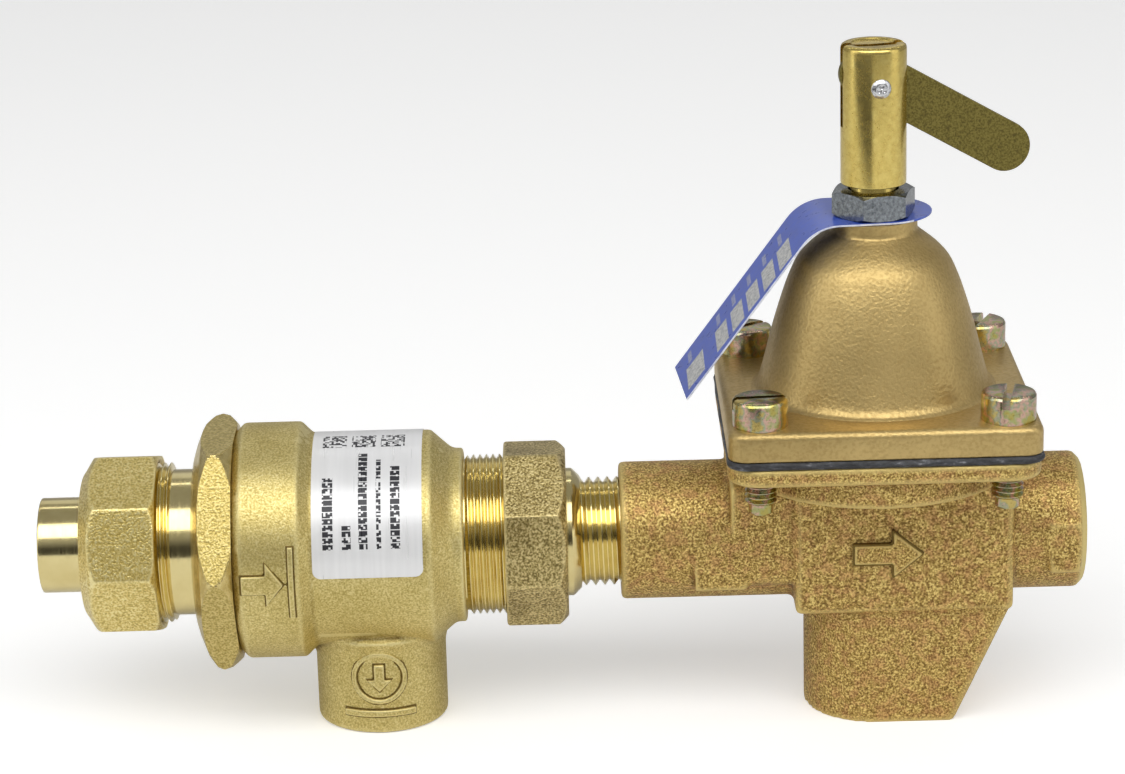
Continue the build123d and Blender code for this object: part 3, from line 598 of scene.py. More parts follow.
def raised_mark(bm, outlines, height, radius, place):
    """Adds flat outlines (across, up), raised from a round face and wrapped on it, to a bmesh."""
    mark = bmesh.new()
    sunk = 0.8 * mm
    for outline in outlines:
        mark.faces.new([mark.verts.new((across, up, -sunk)) for across, up in outline])
    drawn_out(mark, mark.faces[:], (0, 0, height + sunk))
    for step in range(-8, 9):
        sliced(mark, (0, step * mm, 0), (0, 1, 0))
    bmesh.ops.recalc_face_normals(mark, faces=mark.faces)
    for vertex in mark.verts:
        turn = vertex.co.y / radius
        reach = radius + vertex.co.z
        vertex.co = Vector((vertex.co.x, reach * math.sin(turn), reach * math.cos(turn)))
    bmesh.ops.transform(mark, matrix=place, verts=mark.verts, space=Matrix())
    mesh = bpy.data.meshes.new("mark")
    mark.to_mesh(mesh)
    mark.free()
    bm.from_mesh(mesh)
    bpy.data.meshes.remove(mesh)
    return bm


def bar(along, up, length, width, grow=0):
    """A rectangle about a point, grown on every side."""
    half_length, half_width = length / 2 + grow, width / 2 + grow
    corners = (-1, -1), (1, -1), (1, 1), (-1, 1)
    return [(along + a * half_length, up + b * half_width) for a, b in corners]


def arrow(length, width, along=0, up=0, grow=0):
    """The head and the shaft of an arrow that points along the first direction."""
    neck, tip = along + 0.08 * length - grow, along + length / 2 + 1.3 * grow
    half_width = width / 2 + 1.8 * grow
    head = [(neck, up - half_width), (tip, up), (neck, up + half_width)]
    return [head, bar(along - 0.2 * length, up, 0.6 * length, 0.42 * width, grow)]


def ring_sectors(inner, outer, count=24):
    """A flat ring as short sectors."""
    sectors = []
    for k in range(count):
        a0, a1 = 2 * math.pi * k / count, 2 * math.pi * (k + 1) / count
        corners = (inner, a0), (outer, a0), (outer, a1), (inner, a1)
        sectors.append([(r * math.cos(a), r * math.sin(a)) for r, a in corners])
    return sectors


# a mark's own up direction leaves a round face towards the front
mark_x = 45.4 * mm
towards_front = Matrix.Rotation(math.radians(90), 4, "X")
tilt = Matrix.Rotation(math.radians(2), 4, "X")
on_barrel = Matrix.Translation((mark_x, 0, 0)) @ tilt @ towards_front
# the port is upright, so its marks are wrapped about a vertical line
quarter_back = Matrix.Rotation(math.radians(-90), 4, "Z")
on_port = Matrix.Translation((vent_x, 0, 0)) @ towards_front @ quarter_back
ring_drop, bar_drop = 24.6 * mm, 32.0 * mm


def body_marks(height, grow):
    """The flow mark on the barrel and the vent mark on the port."""
    marks = bmesh.new()
    flow_marks = arrow(8.0 * mm, 8.6 * mm, -1.0 * mm, 0, grow)
    flow_marks.append(bar(4.5 * mm, 0, 1.0 * mm, 14.5 * mm, grow))
    raised_mark(marks, flow_marks, height, barrel_radius, on_barrel)
    ring = ring_sectors(4.5 * mm - grow, 5.4 * mm + grow)
    vent_marks = [[(a + ring_drop, b) for a, b in sector] for sector in ring]
    vent_marks += arrow(5.6 * mm, 4.6 * mm, ring_drop, 0, grow)
    vent_marks.append(bar(bar_drop, 0, 1.3 * mm, 14.0 * mm, grow))
    return raised_mark(marks, vent_marks, height, port_radius, on_port)


body_forging = piece_of("backflow_body_forged", bm)
cast(body_forging, 0.45 * mm, 3)
satin_forging = grained_metal(
    "fine_blasted_brass",
    [(0.32, (0.50, 0.39, 0.13)), (0.5, (0.69, 0.565, 0.215)), (0.66, (0.84, 0.73, 0.36))],
    0.36 * mm, 0.07 * mm, (0.40, 0.50), 0.88, (0.88, 0.86, 0.78),
)
fit(body_forging, satin_forging, "valve_set", "forged_brass", "backflow_body")
# a dark brass used as painted shade round the raised marks
tarnish_and_painted_shade = grained_metal(
    "painted_shade_brass", [(0.3, (0.07, 0.045, 0.012)), (0.7, (0.24, 0.17, 0.055))],
    0.5 * mm, 0.03 * mm, (0.45, 0.6),
)
# a wider, lower copy of each mark, in dark brass, is painted shade round its foot
mark_height, shade_height, shade_grow = 0.62 * mm, 0.07 * mm, 0.38 * mm
forged_marks = cast(piece_of("backflow_body_marks", body_marks(mark_height, 0)), 0.22 * mm, 1)
fit(forged_marks, satin_forging, "valve_set", "forged_brass")
mark_painted_shade = piece_of("backflow_body_mark_painted_shade", body_marks(shade_height, shade_grow))
cast(mark_painted_shade, 0.2 * mm, 0)
fit(mark_painted_shade, tarnish_and_painted_shade, "valve_set", "forged_brass")

body_root, outlet_bore, tucked_in = union_thread[1], 11.5 * mm, thread_x - 2.0 * mm
body_thread = threaded_piece(
    "backflow_body_outlet_thread", (thread_x + 0.8 * mm, high.x - 0.7 * mm, *union_thread),
    [(thread_x + 0.3 * mm, body_root), (tucked_in, body_root), (tucked_in, outlet_bore)],
    [(high.x - 0.4 * mm, 14.7 * mm), (high.x, 14.3 * mm), (high.x, outlet_bore)],
)
fit(body_thread, bright_brass_x, "valve_set", "machined_brass")

# ---- Outlet union nut and nipple ----
# The second nut is older stock, darkened brown in the hollows of its grain. The nipple is
# turned bright: a collar under the nut, a short cone, and a 1/2 in pipe thread.
dark_grain = grained_metal(
    "darkened_blasted_brass",
    [(0.36, (0.21, 0.155, 0.052)), (0.5, (0.49, 0.38, 0.14)), (0.62, (0.80, 0.66, 0.32))],
    0.42 * mm, 0.13 * mm, (0.32, 0.48), 0.78, (0.72, 0.70, 0.66),
)
nut = cast(piece_of("outlet_union_nut_forged", merged_copy("outlet_union_nut")), 0.30 * mm, 4)
fit(nut, dark_grain, "outlet_nut", "antique_brass", "outlet_union_nut")

low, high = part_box("outlet_nipple")
nut_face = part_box("outlet_union_nut")[1].x
collar_end = nut_face - 3.4 * mm
collar_radius, nipple_neck, nipple_bore = 14.2 * mm, 12.5 * mm, 7.8 * mm
nipple = threaded_piece(
    "outlet_nipple_turned",
    (nut_face + 2.8 * mm, high.x - 0.5 * mm, 10.6 * mm, 9.6 * mm, 1.814 * mm),
    [(nut_face + 2.6 * mm, 11.0 * mm), (nut_face + 1.3 * mm, 12.3 * mm),
     (nut_face + 1.0 * mm, nipple_neck), (collar_end, nipple_neck), (collar_end, collar_radius),
     (low.x, collar_radius), (low.x, nipple_bore)],
    [(high.x - 0.2 * mm, 9.4 * mm), (high.x, 9.2 * mm), (high.x, nipple_bore)],
)
fit(nipple, bright_brass_x, "valve_set", "machined_brass", "outlet_nipple")

# ---- Label ----
# A satin silver plastic film stuck round the barrel, faintly brushed. Plain dark blocks in
# rows stand in for its print.


def within(nodes, value, low, high):
    """1 where a value is from low to high, and 0 elsewhere."""
    compare = nodes.new("ShaderNodeMath")
    compare.operation = "COMPARE"
    compare.inputs[1].default_value = (low + high) / 2
    compare.inputs[2].default_value = (high - low) / 2
    link(value, compare.inputs[0])
    return compare.outputs[0]


def label_film():
    """Silver film: a faint brushed sheen, with dark blocks in rows along the barrel's turn."""
    material, nodes, shader = surface("silver_film", 0.20, 0.34)

    def product(first, second):
        return joined(nodes, "MULTIPLY", first, second)

    def patch(start, width, bottom, top):
        across = within(nodes, point["X"], low.x + start * mm, low.x + (start + width) * mm)
        return product(across, within(nodes, rise, math.radians(bottom), math.radians(top)))

    point = coordinates(nodes)
    rise = joined(nodes, "ARCTAN2", point["Z"], product(point["Y"], -1))
    gaps = joined(nodes, "FRACT", product(rise, 17.0), 0)
    blocks = within(nodes, gaps, 0.0, 0.86)
    ink = None
    # each row's start and width along the barrel, then where it ends round it
    rows = (
        (2.1, 2.0, 13, 53), (5.8, 1.7, 13, 26), (9.0, 1.7, 13, 70), (12.4, 0.9, 13, 65),
        (15.1, 1.8, 13, 60),
    )
    for row in rows:
        row = product(patch(*row), blocks)
        ink = joined(nodes, "MAXIMUM", ink, row) if ink else row
    cell, film_radius = 0.42 * mm, 20.8 * mm
    cells = nodes.new("ShaderNodeCombineXYZ")
    for side, way in enumerate((product(point["X"], 1 / cell), product(rise, film_radius / cell))):
        link(joined(nodes, "FLOOR", way, 0), cells.inputs[side])
    dots = nodes.new("ShaderNodeTexWhiteNoise")
    link(cells.outputs[0], dots.inputs["Vector"])
    ink = product(ink, joined(nodes, "GREATER_THAN", dots.outputs["Value"], 0.2))
    dots = joined(nodes, "GREATER_THAN", dots.outputs["Value"], 0.48)
    for start in (2.0, 7.6, 13.2):
        panel = product(patch(start, 4.6, 76, 90), dots)
        ink = joined(nodes, "MAXIMUM", ink, panel)
    sheen = spread(nodes, 900, 2, 0.5, (1, 0.05, 0.05))
    silver = tinted(nodes, sheen, (0.3, (0.76, 0.76, 0.76)), (0.7, (0.82, 0.82, 0.82)))
    print_black = (0.035, 0.035, 0.04)
    painted(shader, blended(nodes, ink, silver, print_black), between(nodes, sheen, 0.26, 0.36))
    relief(nodes, shader, ink, 0.01 * mm)
    return material


def refinish(node, material):
    """Gives a CAD node its material."""
    slots = frame["nodes"][node].data.materials
    slots.clear()
    slots.append(material)


low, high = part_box("body_label")
refinish("body_label", label_film())

# ---- Regulator body ----
# Sand-cast bronze, left as it came from the mould: a coarse brown skin with reddish specks,
# rubbed brighter on high spots, with a painted highlight on its edges and painted shade in its
# inner corners. Only the outlet's rim is machined.


def bronze_skin():
    """Cast bronze: dark pits, an olive-gold skin and copper-red grains; the outlet rim is cut."""
    material, nodes, shader = surface("sand_cast_bronze", 0.62, 0.5)
    speckle = spread(nodes, 1 / (0.40 * mm), 2.5, 0.6)
    colour = tinted(
        nodes, speckle, (0.36, (0.18, 0.10, 0.028)), (0.45, (0.38, 0.24, 0.062)),
        (0.54, (0.56, 0.385, 0.108)), (0.64, (0.88, 0.69, 0.25)),
    )
    copper = tinted(nodes, speckle, (0.36, (0.26, 0.125, 0.042)), (0.62, (0.70, 0.41, 0.15)))
    patches = between(nodes, spread(nodes, 420, 3, 0.6), 0.0, 0.75, 0.48, 0.62)
    skin = blended(nodes, patches, colour, copper)
    along = coordinates(nodes)["X"]
    cut = between(nodes, along, 0.0, 1.0, high.x - 1.35 * mm, high.x - 1.05 * mm)
    skin = blended(nodes, cut, skin, (0.74, 0.60, 0.24))
    # worn edges with a painted highlight, and painted shade in inner corners
    painted(shader, edge_wear_highlight_and_shade(nodes, skin, (0.70, 0.54, 0.20)), between(nodes, speckle, 0.62, 0.36))
    depth = joined(nodes, "MULTIPLY", speckle, between(nodes, cut, 1.0, 0.1, 0, 1))
    relief(nodes, shader, depth, 0.12 * mm)
    return material


low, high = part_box("regulator_body")
bronze = bronze_skin()
casting = cast(piece_of("regulator_body_cast", merged_copy("regulator_body")), 0.56 * mm, 2)
fit(casting, bronze, "valve_set", "cast_bronze", "regulator_body")

# a raised arrow on the front pad shows the flow
regulator_x = sum(corner.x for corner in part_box("diaphragm")) / 2
pad_front = -14.6 * mm
sunk = 0.9 * mm
# the second, wider and lower copy in dark brass is painted shade round the arrow's foot
for name, height, grow, skin in (
    ("regulator_flow_arrow", 1.35 * mm, 0, bronze),
    ("regulator_arrow_painted_shade", 0.95 * mm, 0.36 * mm, tarnish_and_painted_shade),
):
    marks = bmesh.new()
    for outline in arrow(13.0 * mm, 9.0 * mm, regulator_x + 1.6 * mm, -0.8 * mm, grow):
        marks.faces.new([marks.verts.new((along, pad_front + sunk, up)) for along, up in outline])
    drawn_out(marks, marks.faces[:], (0, -sunk - height, 0))
    bmesh.ops.recalc_face_normals(marks, faces=marks.faces)
    fit(cast(piece_of(name, marks), 0.25 * mm, 1), skin, "valve_set", "cast_bronze")

# ---- Diaphragm ----
# Fabric-backed black rubber, clamped between the two flanges. Its squeezed edge stands out
# unevenly and is chalky grey where the mould's talc is left.


def rounded_plate(half, corner, height, segments=8):
    """A square plate about the regulator's axis, its four corners rounded."""
    bm = bmesh.new()
    bmesh.ops.create_grid(bm, x_segments=1, y_segments=1, size=half)
    bmesh.ops.bevel(
        bm, geom=bm.verts[:], offset=corner, affect="VERTICES", segments=segments, profile=0.5,
        material=-1,
    )
    bmesh.ops.translate(bm, verts=bm.verts, vec=(regulator_x, 0, height))
    return bm


low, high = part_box("diaphragm")
flange_half = (high.x - low.x) / 2
# the bevel's offset that leaves a corner of 6 mm radius
flange_corner = 6.0 * mm * 0.586
bm = rounded_plate(flange_half, flange_corner, low.z)
straight = [edge for edge in bm.edges if edge.calc_length() > 20 * mm]
bmesh.ops.subdivide_edges(bm, edges=straight, cuts=47)
top = bm.faces[:]
for rise in (0.3 * mm, 0.4 * mm, 0.4 * mm, 0.3 * mm):
    top = drawn_out(bm, top, (0, 0, rise))
# the flat faces that the steps leave inside go
level = {face: face.calc_center_median().z for face in bm.faces if len(face.verts) > 4}
inner = [face for face, z in level.items() if low.z + 0.1 * mm < z < high.z - 0.1 * mm]
bmesh.ops.delete(bm, geom=inner, context="FACES_ONLY")
for vertex in bm.verts:
    out = Vector((vertex.co.x - regulator_x, vertex.co.y, 0)).normalized()
    bulge = 1 - (2 * (vertex.co.z - low.z) / (high.z - low.z) - 1) ** 2
    wander = math.sin(vertex.co.x * 310) + math.sin(vertex.co.y * 430 + 1)
    wander += math.sin(vertex.co.z * 2900)
    vertex.co += out * (bulge * (0.28 + 0.10 * wander) * mm)
bmesh.ops.recalc_face_normals(bm, faces=bm.faces)
rubber_sheet = piece_of("diaphragm_edge", bm, 50)
middle_radius = 19.0 * mm
stand = Vector((regulator_x, 0, 0))
upright_axis = Vector((0, 0, 1))


def plug(name, radius, start, end):
    """A plain round plug about the regulator's axis, used to cut a hole."""
    outline = [(start, 0), (start, radius), (end, radius), (end, 0)]
    return piece_of(name, turned(outline, upright_axis, stand, 96))


def cut_by(piece, other):
    """Cuts a piece by another, which is used up."""
    modifier = piece.modifiers.new("cut", "BOOLEAN")
    modifier.operation = "DIFFERENCE"
    modifier.object = other
    modifier.solver = "EXACT"
    settled(piece)
    bpy.data.objects.remove(other)
    return piece


cut_by(rubber_sheet, plug("hole", middle_radius, low.z - 1 * mm, high.z + 1 * mm))
rubber_sheet.data.set_sharp_from_angle(angle=math.radians(50))


def black_rubber():
    """Rubber with chalky streaks."""
    material, nodes, shader = surface("black_rubber", 0.0, 0.6)
    streaks = spread(nodes, 420, 4, 0.65, (1, 1, 2.5))
    tone = tinted(
        nodes, streaks, (0.42, (0.018, 0.018, 0.020)), (0.58, (0.055, 0.057, 0.064)),
        (0.72, (0.30, 0.31, 0.33)),
    )
    painted(shader, tone, between(nodes, streaks, 0.42, 0.75))
    relief(nodes, shader, streaks, 0.12 * mm)
    return material


rubber = black_rubber()
fit(rubber_sheet, rubber, "valve_set", "black_rubber", "diaphragm")
hole_radius, reach = 2.2 * mm, middle_radius - 0.05 * mm
rubber_middle = piece_of("diaphragm_middle", turned(
    [(low.z, hole_radius), (low.z, reach), (high.z, reach), (high.z, hole_radius)],
    upright_axis, stand, 96,
))
fit(rubber_middle, rubber, "valve_train", "black_rubber")

# ---- Spring cover ----
# The bell that holds the range spring: cast brass, tumbled to an even satin gold with a fine
# pebbled skin. Its square flange is bolted down on the diaphragm.
low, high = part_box("spring_cover")
flange_top = low.z + 5.7 * mm


def flowing(points, count):
    """A smooth run of points through the given ones."""
    curve = []
    padded = [points[0] * 2 - points[1], *points, points[-1] * 2 - points[-2]]
    for before, start, end, after in zip(padded, padded[1:], padded[2:], padded[3:]):
        swing = 2 * before - 5 * start + 4 * end - after
        twist = 3 * start - before - 3 * end + after
        for step in range(count):
            t = step / count
            curve.append(0.5 * (2 * start + (end - before) * t + swing * t ** 2 + twist * t ** 3))
    return curve + [points[-1]]


# the bell's height and radius in mm, from the flange up to the neck's top
bell_stations = [
    (28.0, 24.6), (28.85, 23.55), (29.5, 22.75), (31.0, 22.0), (35.5, 20.75), (41.0, 19.35),
    (46.2, 17.8), (50.4, 16.35), (54.0, 14.7), (56.4, 12.7), (58.2, 10.6), (59.3, 9.2),
    (60.2, 8.45), (62.4, 8.4),
]
bell_curve = flowing([Vector(station) for station in bell_stations], 6)
neck_bore = 4.85 * mm
bell = piece_of("spring_cover_bell", turned(
    [*[(point.x * mm, point.y * mm) for point in bell_curve], (high.z, neck_bore),
     (high.z - 6 * mm, neck_bore), (high.z - 8 * mm, 12.0 * mm), (high.z - 22 * mm, 15.6 * mm),
     (flange_top - 0.8 * mm, middle_radius)],
    upright_axis, stand, 160,
), 40)


def cover_skin():
    """Tumbled cast brass: a fine pebbled relief, duller in its hollows."""
    material, nodes, shader = surface("satin_cast_brass", 0.80, 0.42)
    pebble = spread(nodes, 1 / (0.62 * mm), 1.5, 0.45)
    broad = spread(nodes, 60, 3)
    tone = tinted(nodes, broad, (0.35, (0.51, 0.37, 0.145)), (0.65, (0.62, 0.455, 0.185)))
    hollow = between(nodes, pebble, 0.8, 0.0, 0.35, 0.55)
    tone = blended(nodes, hollow, tone, (0.86, 0.83, 0.78), "MULTIPLY")
    painted(shader, tone, between(nodes, pebble, 0.46, 0.36))
    relief(nodes, shader, pebble, 0.085 * mm)
    return material


satin_gold = cover_skin()
fit(bell, satin_gold, "valve_set", "cast_brass_cover", "spring_cover")

bm = rounded_plate(flange_half, flange_corner, low.z)
drawn_out(bm, bm.faces[:], (0, 0, flange_top - low.z))
bmesh.ops.recalc_face_normals(bm, faces=bm.faces)
for level, width in ((flange_top, 1.5 * mm), (low.z, 0.5 * mm)):
    rim = [e for e in bm.edges if all(abs(v.co.z - level) < 1e-6 for v in e.verts)]
    bmesh.ops.bevel(
        bm, geom=rim, offset=width, affect="EDGES", segments=6, profile=0.5, material=-1
    )
cover_flange = piece_of("spring_cover_flange", bm, 40)
cut_by(cover_flange, plug("hole", middle_radius, low.z - 1 * mm, flange_top + 1 * mm))
cover_flange.data.set_sharp_from_angle(angle=math.radians(40))
fit(cover_flange, satin_gold, "valve_set", "cast_brass_cover")

# ---- Cover screws ----
# Four slotted cheese-head machine screws in yellow zinc, whose film shows pink, green and
# straw; the heads are a little bruised round the slots.


def broken_edges(piece, width, angle=25, segments=3):
    """Breaks a piece's sharp edges by a small round."""
    bevel = piece.modifiers.new("edge", "BEVEL")
    bevel.width = width
    bevel.segments = segments
    bevel.limit_method = "ANGLE"
    bevel.angle_limit = math.radians(angle)
    bevel.use_clamp_overlap = True
    bevel.harden_normals = True
    settled(piece)
    return piece


def crisp_copy(name, node, width):
    """A CAD node's mesh with its flat faces whole and its sharp edges broken."""
    bm = merged_copy(node)
    bmesh.ops.dissolve_limit(
        bm, angle_limit=math.radians(0.6), use_dissolve_boundaries=False, verts=bm.verts,
        edges=bm.edges,
    )
    return broken_edges(piece_of(name, bm), width)


def zinc_film(name, stops, metallic, roughness, grain, depth):
    """Plated steel: a thin film whose colour wanders, with small bruises and spots."""
    material, nodes, shader = surface(name, metallic, 0.3)
    film = spread(nodes, grain, 3, 0.6)
    spots = spread(nodes, 2600, 2, 0.5)
    dirt = between(nodes, spots, 0.0, 0.85, 0.56, 0.72)
    colour = tinted(nodes, film, *stops)
    spotted = blended(nodes, dirt, colour, (0.62, 0.60, 0.56), "MULTIPLY")
    painted(shader, spotted, between(nodes, spots, *roughness))
    relief(nodes, shader, spots, depth)
    return material


yellow_zinc = zinc_film(
    "yellow_zinc",
    [(0.34, (0.46, 0.39, 0.11)), (0.42, (0.40, 0.42, 0.19)), (0.49, (0.66, 0.41, 0.33)),
     (0.55, (0.36, 0.40, 0.27)), (0.62, (0.58, 0.45, 0.15))],
    1.0, (0.18, 0.28), 260, 0.008 * mm,
)
screws = crisp_copy("cover_screws_plated", "cover_screws", 0.18 * mm)
fit(screws, yellow_zinc, "valve_set", "zinc_dichromate", "cover_screws")

# ---- Lock nut ----
# A thin steel hexagon, cold formed and plated in clear zinc. It locks the adjusting screw and
# clamps the hang tag on the cover's neck.
clear_zinc = zinc_film(
    "clear_zinc", [(0.3, (0.12, 0.132, 0.145)), (0.7, (0.33, 0.355, 0.375))],
    1.0, (0.12, 0.24), 1500, 0.014 * mm,
)
lock_nut = crisp_copy("lock_nut_plated", "lock_nut", 0.16 * mm)
fit(lock_nut, clear_zinc, "jam_nut", "clear_zinc", "lock_nut")

# ---- Adjusting screw and rivet ----
# Turned from 1/2 in brass bar: a slotted head above, and a fine thread through the cover's
# neck. The steel rivet on which the lever turns is staked with three punch marks.
low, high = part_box("adjusting_screw")
stem_radius = 6.25 * mm
stem_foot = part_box("lock_nut")[1].z + 1.1 * mm
pin_low, pin_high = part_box("lever_pin")
pin_centre = (pin_low + pin_high) / 2
lever_turn = math.radians(8.5)
thread_crest, thread_root, thread_pitch = 4.8 * mm, 4.15 * mm, 1.5875 * mm
thread_low = low.z + 0.5 * mm
ridges = []
for turn_number in range(12):
    foot = thread_low + turn_number * thread_pitch
    for share, radius in ((0, thread_root), (0.45, thread_crest), (0.55, thread_crest)):
        ridges.append((foot + share * thread_pitch, radius))
stem = piece_of("adjusting_screw_turned", turned([
    (low.z, 0), (low.z, 4.1 * mm), *ridges, (stem_foot - 0.4 * mm, thread_root),
    (stem_foot, thread_root), (stem_foot, stem_radius, 0.3 * mm), (high.z, stem_radius, 1.05 * mm),
    (high.z, 4.4 * mm, 0.12 * mm), (high.z - 0.38 * mm, 4.1 * mm, 0.3 * mm), (high.z - 0.5 * mm, 0),
], upright_axis, stand), 40)
# the lever's slot runs right across the head
slot_width, slot_size, slot_floor = 1.9 * mm, 30 * mm, 80.15 * mm
slot_turn = Matrix.Translation(pin_centre) @ Matrix.Rotation(lever_turn, 4, "Z")
bm = bmesh.new()
bmesh.ops.create_cube(bm, size=1)
bmesh.ops.scale(bm, vec=(slot_size, slot_width, slot_size), verts=bm.verts)
slot_rise = slot_size / 2 - (pin_centre.z - slot_floor)
bmesh.ops.translate(bm, vec=(0, 0, slot_rise), verts=bm.verts)
bmesh.ops.transform(bm, matrix=slot_turn, verts=bm.verts, space=Matrix())
cut_by(stem, piece_of("slot", bm))
broken_edges(stem, 0.12 * mm, 35, 2)


def drawn_brass():
    """Drawn bar: faint lines along it, small handling marks, and a light brown tarnish."""
    material, nodes, shader = surface("drawn_brass_bar", 1.0, 0.25)
    lines = spread(nodes, 1500, 2, 0.5, (1, 1, 0.02))
    marks = spread(nodes, 900, 4, 0.65)
    tone = tinted(
        nodes, marks, (0.32, (0.66, 0.50, 0.145)), (0.5, (0.73, 0.56, 0.165)),
        (0.66, (0.79, 0.63, 0.205)),
    )
    painted(shader, tone, between(nodes, marks, 0.30, 0.20))
    first = relief(nodes, shader, lines, 0.005 * mm)
    relief(nodes, shader, marks, 0.004 * mm, first)
    return material


bright_brass_z = drawn_brass()
fit(stem, bright_brass_z, "stem", "machined_brass", "adjusting_screw")

rivet_axis = Vector((math.sin(lever_turn), -math.cos(lever_turn), 0))
half, shoulder, pin_radius, head_radius = 6.75 * mm, 5.95 * mm, 1.55 * mm, 1.95 * mm
bm = turned([
    (-half, 0), (-half, 1.2 * mm, 0.3 * mm), (-6.2 * mm, head_radius, 0.2 * mm),
    (-shoulder, head_radius), (-shoulder, pin_radius), (shoulder, pin_radius),
    (shoulder, head_radius), (6.2 * mm, head_radius, 0.2 * mm), (half, 1.2 * mm, 0.3 * mm),
    (half, 0.8 * mm), (half, 0.4 * mm), (half, 0),
], pipe, Vector(), 48)
mark_circle, mark_radius = 0.55 * mm, 0.5 * mm
for mark in range(3):
    turn = 2.1 * mark + 1.57
    spot = Vector((0, mark_circle * math.cos(turn), mark_circle * math.sin(turn)))
    for vertex in bm.verts:
        gap = (Vector((0, vertex.co.y, vertex.co.z)) - spot).length
        if abs(vertex.co.x) > 6.6 * mm and gap < mark_radius:
            vertex.co.x *= 1 - 0.045 * (1 - gap / mark_radius)
along_rivet = pipe.rotation_difference(rivet_axis).to_matrix().to_4x4()
to_pin = Matrix.Translation(pin_centre) @ along_rivet
bmesh.ops.transform(bm, matrix=to_pin, verts=bm.verts, space=Matrix())
rivet = piece_of("lever_rivet", bm, 40)


def rivet_steel():
    """Bright steel, with grey, dull scuffs spread over it."""
    material, nodes, shader = surface("bright_steel", 1.0, 0.18)
    scuffs = spread(nodes, 2400, 3, 0.6)
    tone = tinted(nodes, scuffs, (0.34, (0.30, 0.30, 0.32)), (0.5, (0.72, 0.73, 0.75)))
    painted(shader, tone, between(nodes, scuffs, 0.30, 0.12))
    relief(nodes, shader, scuffs, 0.03 * mm)
    return material


fit(rivet, rivet_steel(), "stem", "bright_rivet", "lever_pin")

# ---- Quick-fill lever ----
# Stamped from steel strip and plated with an olive zinc film, mottled dark. It hangs on the
# rivet, in the stem's slot.
olive_zinc = zinc_film(
    "olive_zinc",
    [(0.34, (0.10, 0.078, 0.018)), (0.5, (0.175, 0.142, 0.031)), (0.66, (0.33, 0.27, 0.07))],
    0.70, (0.34, 0.5), 2600, 0.02 * mm,
)
lever = crisp_copy("fill_lever_stamped", "fill_lever", 0.22 * mm)
fit(lever, olive_zinc, "lever", "olive_zinc", "fill_lever")

# ---- Hang tag ----
# A printed plastic strip with an eye, clamped under the lock nut and bent down over the
# cover: blue, with plain silver panels where the real one carries print.


def tag_film():
    """Blue film with silver panels down the strip and short pale bars beside them."""
    material, nodes, shader = surface("blue_film", 0.0, 0.34)
    point = coordinates(nodes)

    def patch(start, end, near, far):
        along = within(nodes, point["X"], low.x + start * mm, low.x + end * mm)
        across = within(nodes, point["Y"], near * mm, far * mm)
        return joined(nodes, "MULTIPLY", along, across)

    ink = None
    panels = [(2.0, 3.2), (7.6, 2.2), (10.6, 2.2), (13.6, 2.2), (16.6, 2.2), (19.6, 2.3)]
    for start, size in panels:
        panel = patch(start, start + size, -7.6, 2.2)
        beside = patch(start + 0.5, start + 1.2, 3.6, 8.4)
        pale = joined(nodes, "MULTIPLY", beside, 0.45)
        both = joined(nodes, "MAXIMUM", panel, pale)
        ink = joined(nodes, "MAXIMUM", ink, both) if ink else both
    slope = within(nodes, point["Z"], 0.0, low.z + 31.0 * mm)
    ink = joined(nodes, "MULTIPLY", ink, slope)
    wear = spread(nodes, 500, 3)
    blue = tinted(nodes, wear, (0.3, (0.034, 0.080, 0.44)), (0.7, (0.050, 0.110, 0.55)))
    fleck = spread(nodes, 1600, 3)
    grey = tinted(nodes, fleck, (0.35, (0.30, 0.31, 0.33)), (0.6, (0.60, 0.60, 0.58)))
    painted(shader, blended(nodes, ink, blue, grey), between(nodes, wear, 0.26, 0.40))
    shader.inputs["Coat Weight"].default_value = 0.6
    shader.inputs["Coat Roughness"].default_value = 0.12
    relief(nodes, shader, wear, 0.01 * mm)
    return material


low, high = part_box("hang_tag")
tag = crisp_copy("hang_tag_strip", "hang_tag", 0.07 * mm)
fit(tag, tag_film(), "valve_set", "blue_tag", "hang_tag")
# the strip's cut edges show the white plastic under the print
paint, nodes, shader = surface("cut_plastic_edge", 0.0, 0.5)
scuffs = spread(nodes, 700)
edge_tone = tinted(nodes, scuffs, (0.3, (0.50, 0.53, 0.66)), (0.7, (0.82, 0.84, 0.90)))
link(edge_tone, shader.inputs["Base Color"])
tag.data.materials.append(paint)
for face in tag.data.polygons:
    if abs(face.normal.y) > 0.8:
        face.material_index = 1

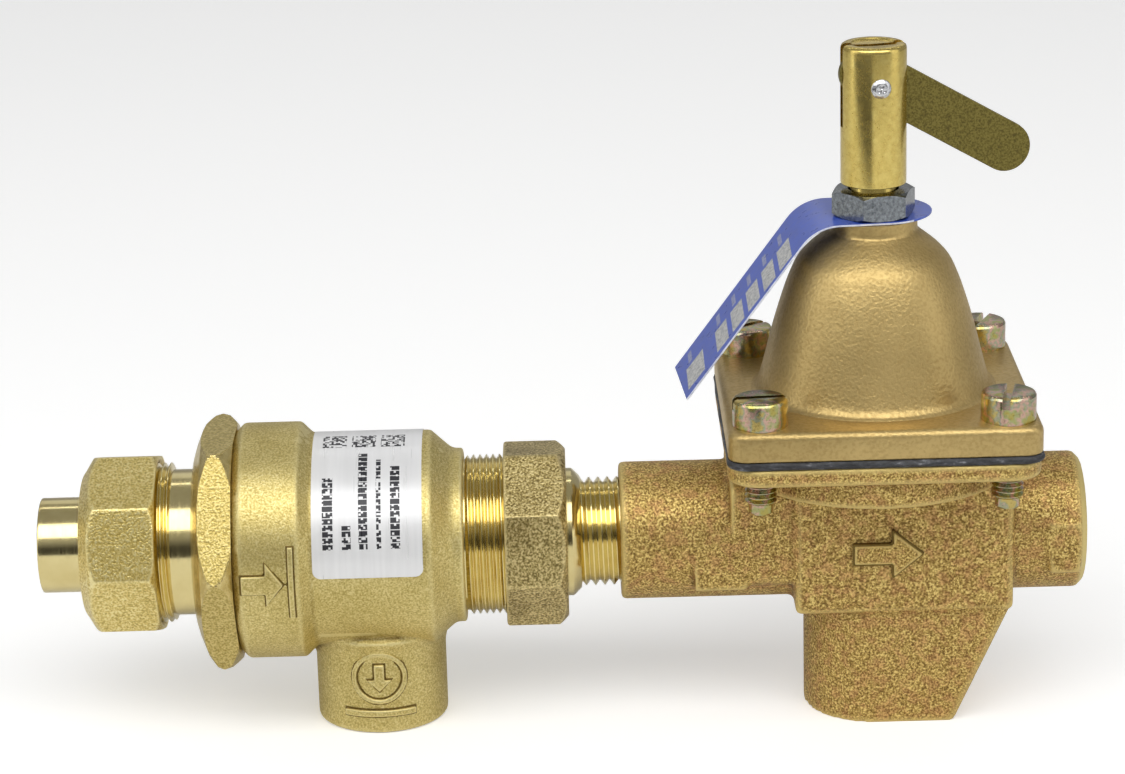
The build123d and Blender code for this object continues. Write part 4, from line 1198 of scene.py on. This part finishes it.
# ---- Inside parts and the strainer plug ----
# Seats, poppets, guides and plates are turned brass or stainless, springs are drawn stainless
# wire, and seals are black rubber.
stainless_tones = ((0.50, 0.50, 0.49), (0.66, 0.66, 0.65))
drawn_stainless = turned_metal("stainless", stainless_tones, "z", (0.16, 0.30))
for node, joint, travel in (
    ("first_check_spring", "first_check_slide", Vector((3.5 * mm, 0, 0))),
    ("second_check_spring", "second_check_slide", Vector((3.5 * mm, 0, 0))),
    ("vent_sleeve_spring", "vent_piston_slide", Vector((1.4 * mm, 0, 0))),
    ("valve_return_spring", "valve_slide", Vector((0, 0, -1.5 * mm))),
):
    coil = piece_of(node + "_coil", merged_copy(node))
    fit(coil, drawn_stainless, "valve_set", "stainless_steel", node)
    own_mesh(coil)

# the vent's diaphragm is gripped at its rim, and its lip moves with the sleeve
low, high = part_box("vent_diaphragm")
bend, rim_end, lip_start, lip_end = (
    high.x - 1.1 * mm, low.x + 1.7 * mm, low.x + 0.25 * mm, low.x + 1.35 * mm,
)
vent_rim = piece_of("vent_diaphragm_rim", turned([
    (low.x, 17.4 * mm), (rim_end, 17.4 * mm), (rim_end, 13.2 * mm), (high.x, 11.9 * mm),
    (high.x, 11.2 * mm), (bend, 11.2 * mm), (bend, 11.5 * mm), (low.x, 12.9 * mm),
]))
fit(vent_rim, rubber, "valve_set", "black_rubber", "vent_diaphragm")
vent_lip = piece_of("vent_diaphragm_lip", turned([
    (high.x, 11.15 * mm), (high.x, 10.4 * mm), (lip_end, 9.1 * mm), (lip_end, 7.5 * mm),
    (lip_start, 7.5 * mm), (lip_start, 9.5 * mm), (bend, 10.9 * mm), (bend, 11.15 * mm),
]))
fit(vent_lip, rubber, "vent_piston", "black_rubber")
inside = {
    "machined_brass": bright_brass_x, "stainless_steel": drawn_stainless, "black_rubber": rubber,
}
stood_for = {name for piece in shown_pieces() for name in piece.get("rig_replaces", [])}
for part in frame["record"]["subparts"]:
    finish = inside.get(part["material_slot"])
    if finish and part["node"] not in stood_for:
        refinish(part["node"], finish)
refinish("strainer_plug", bright_brass_z)
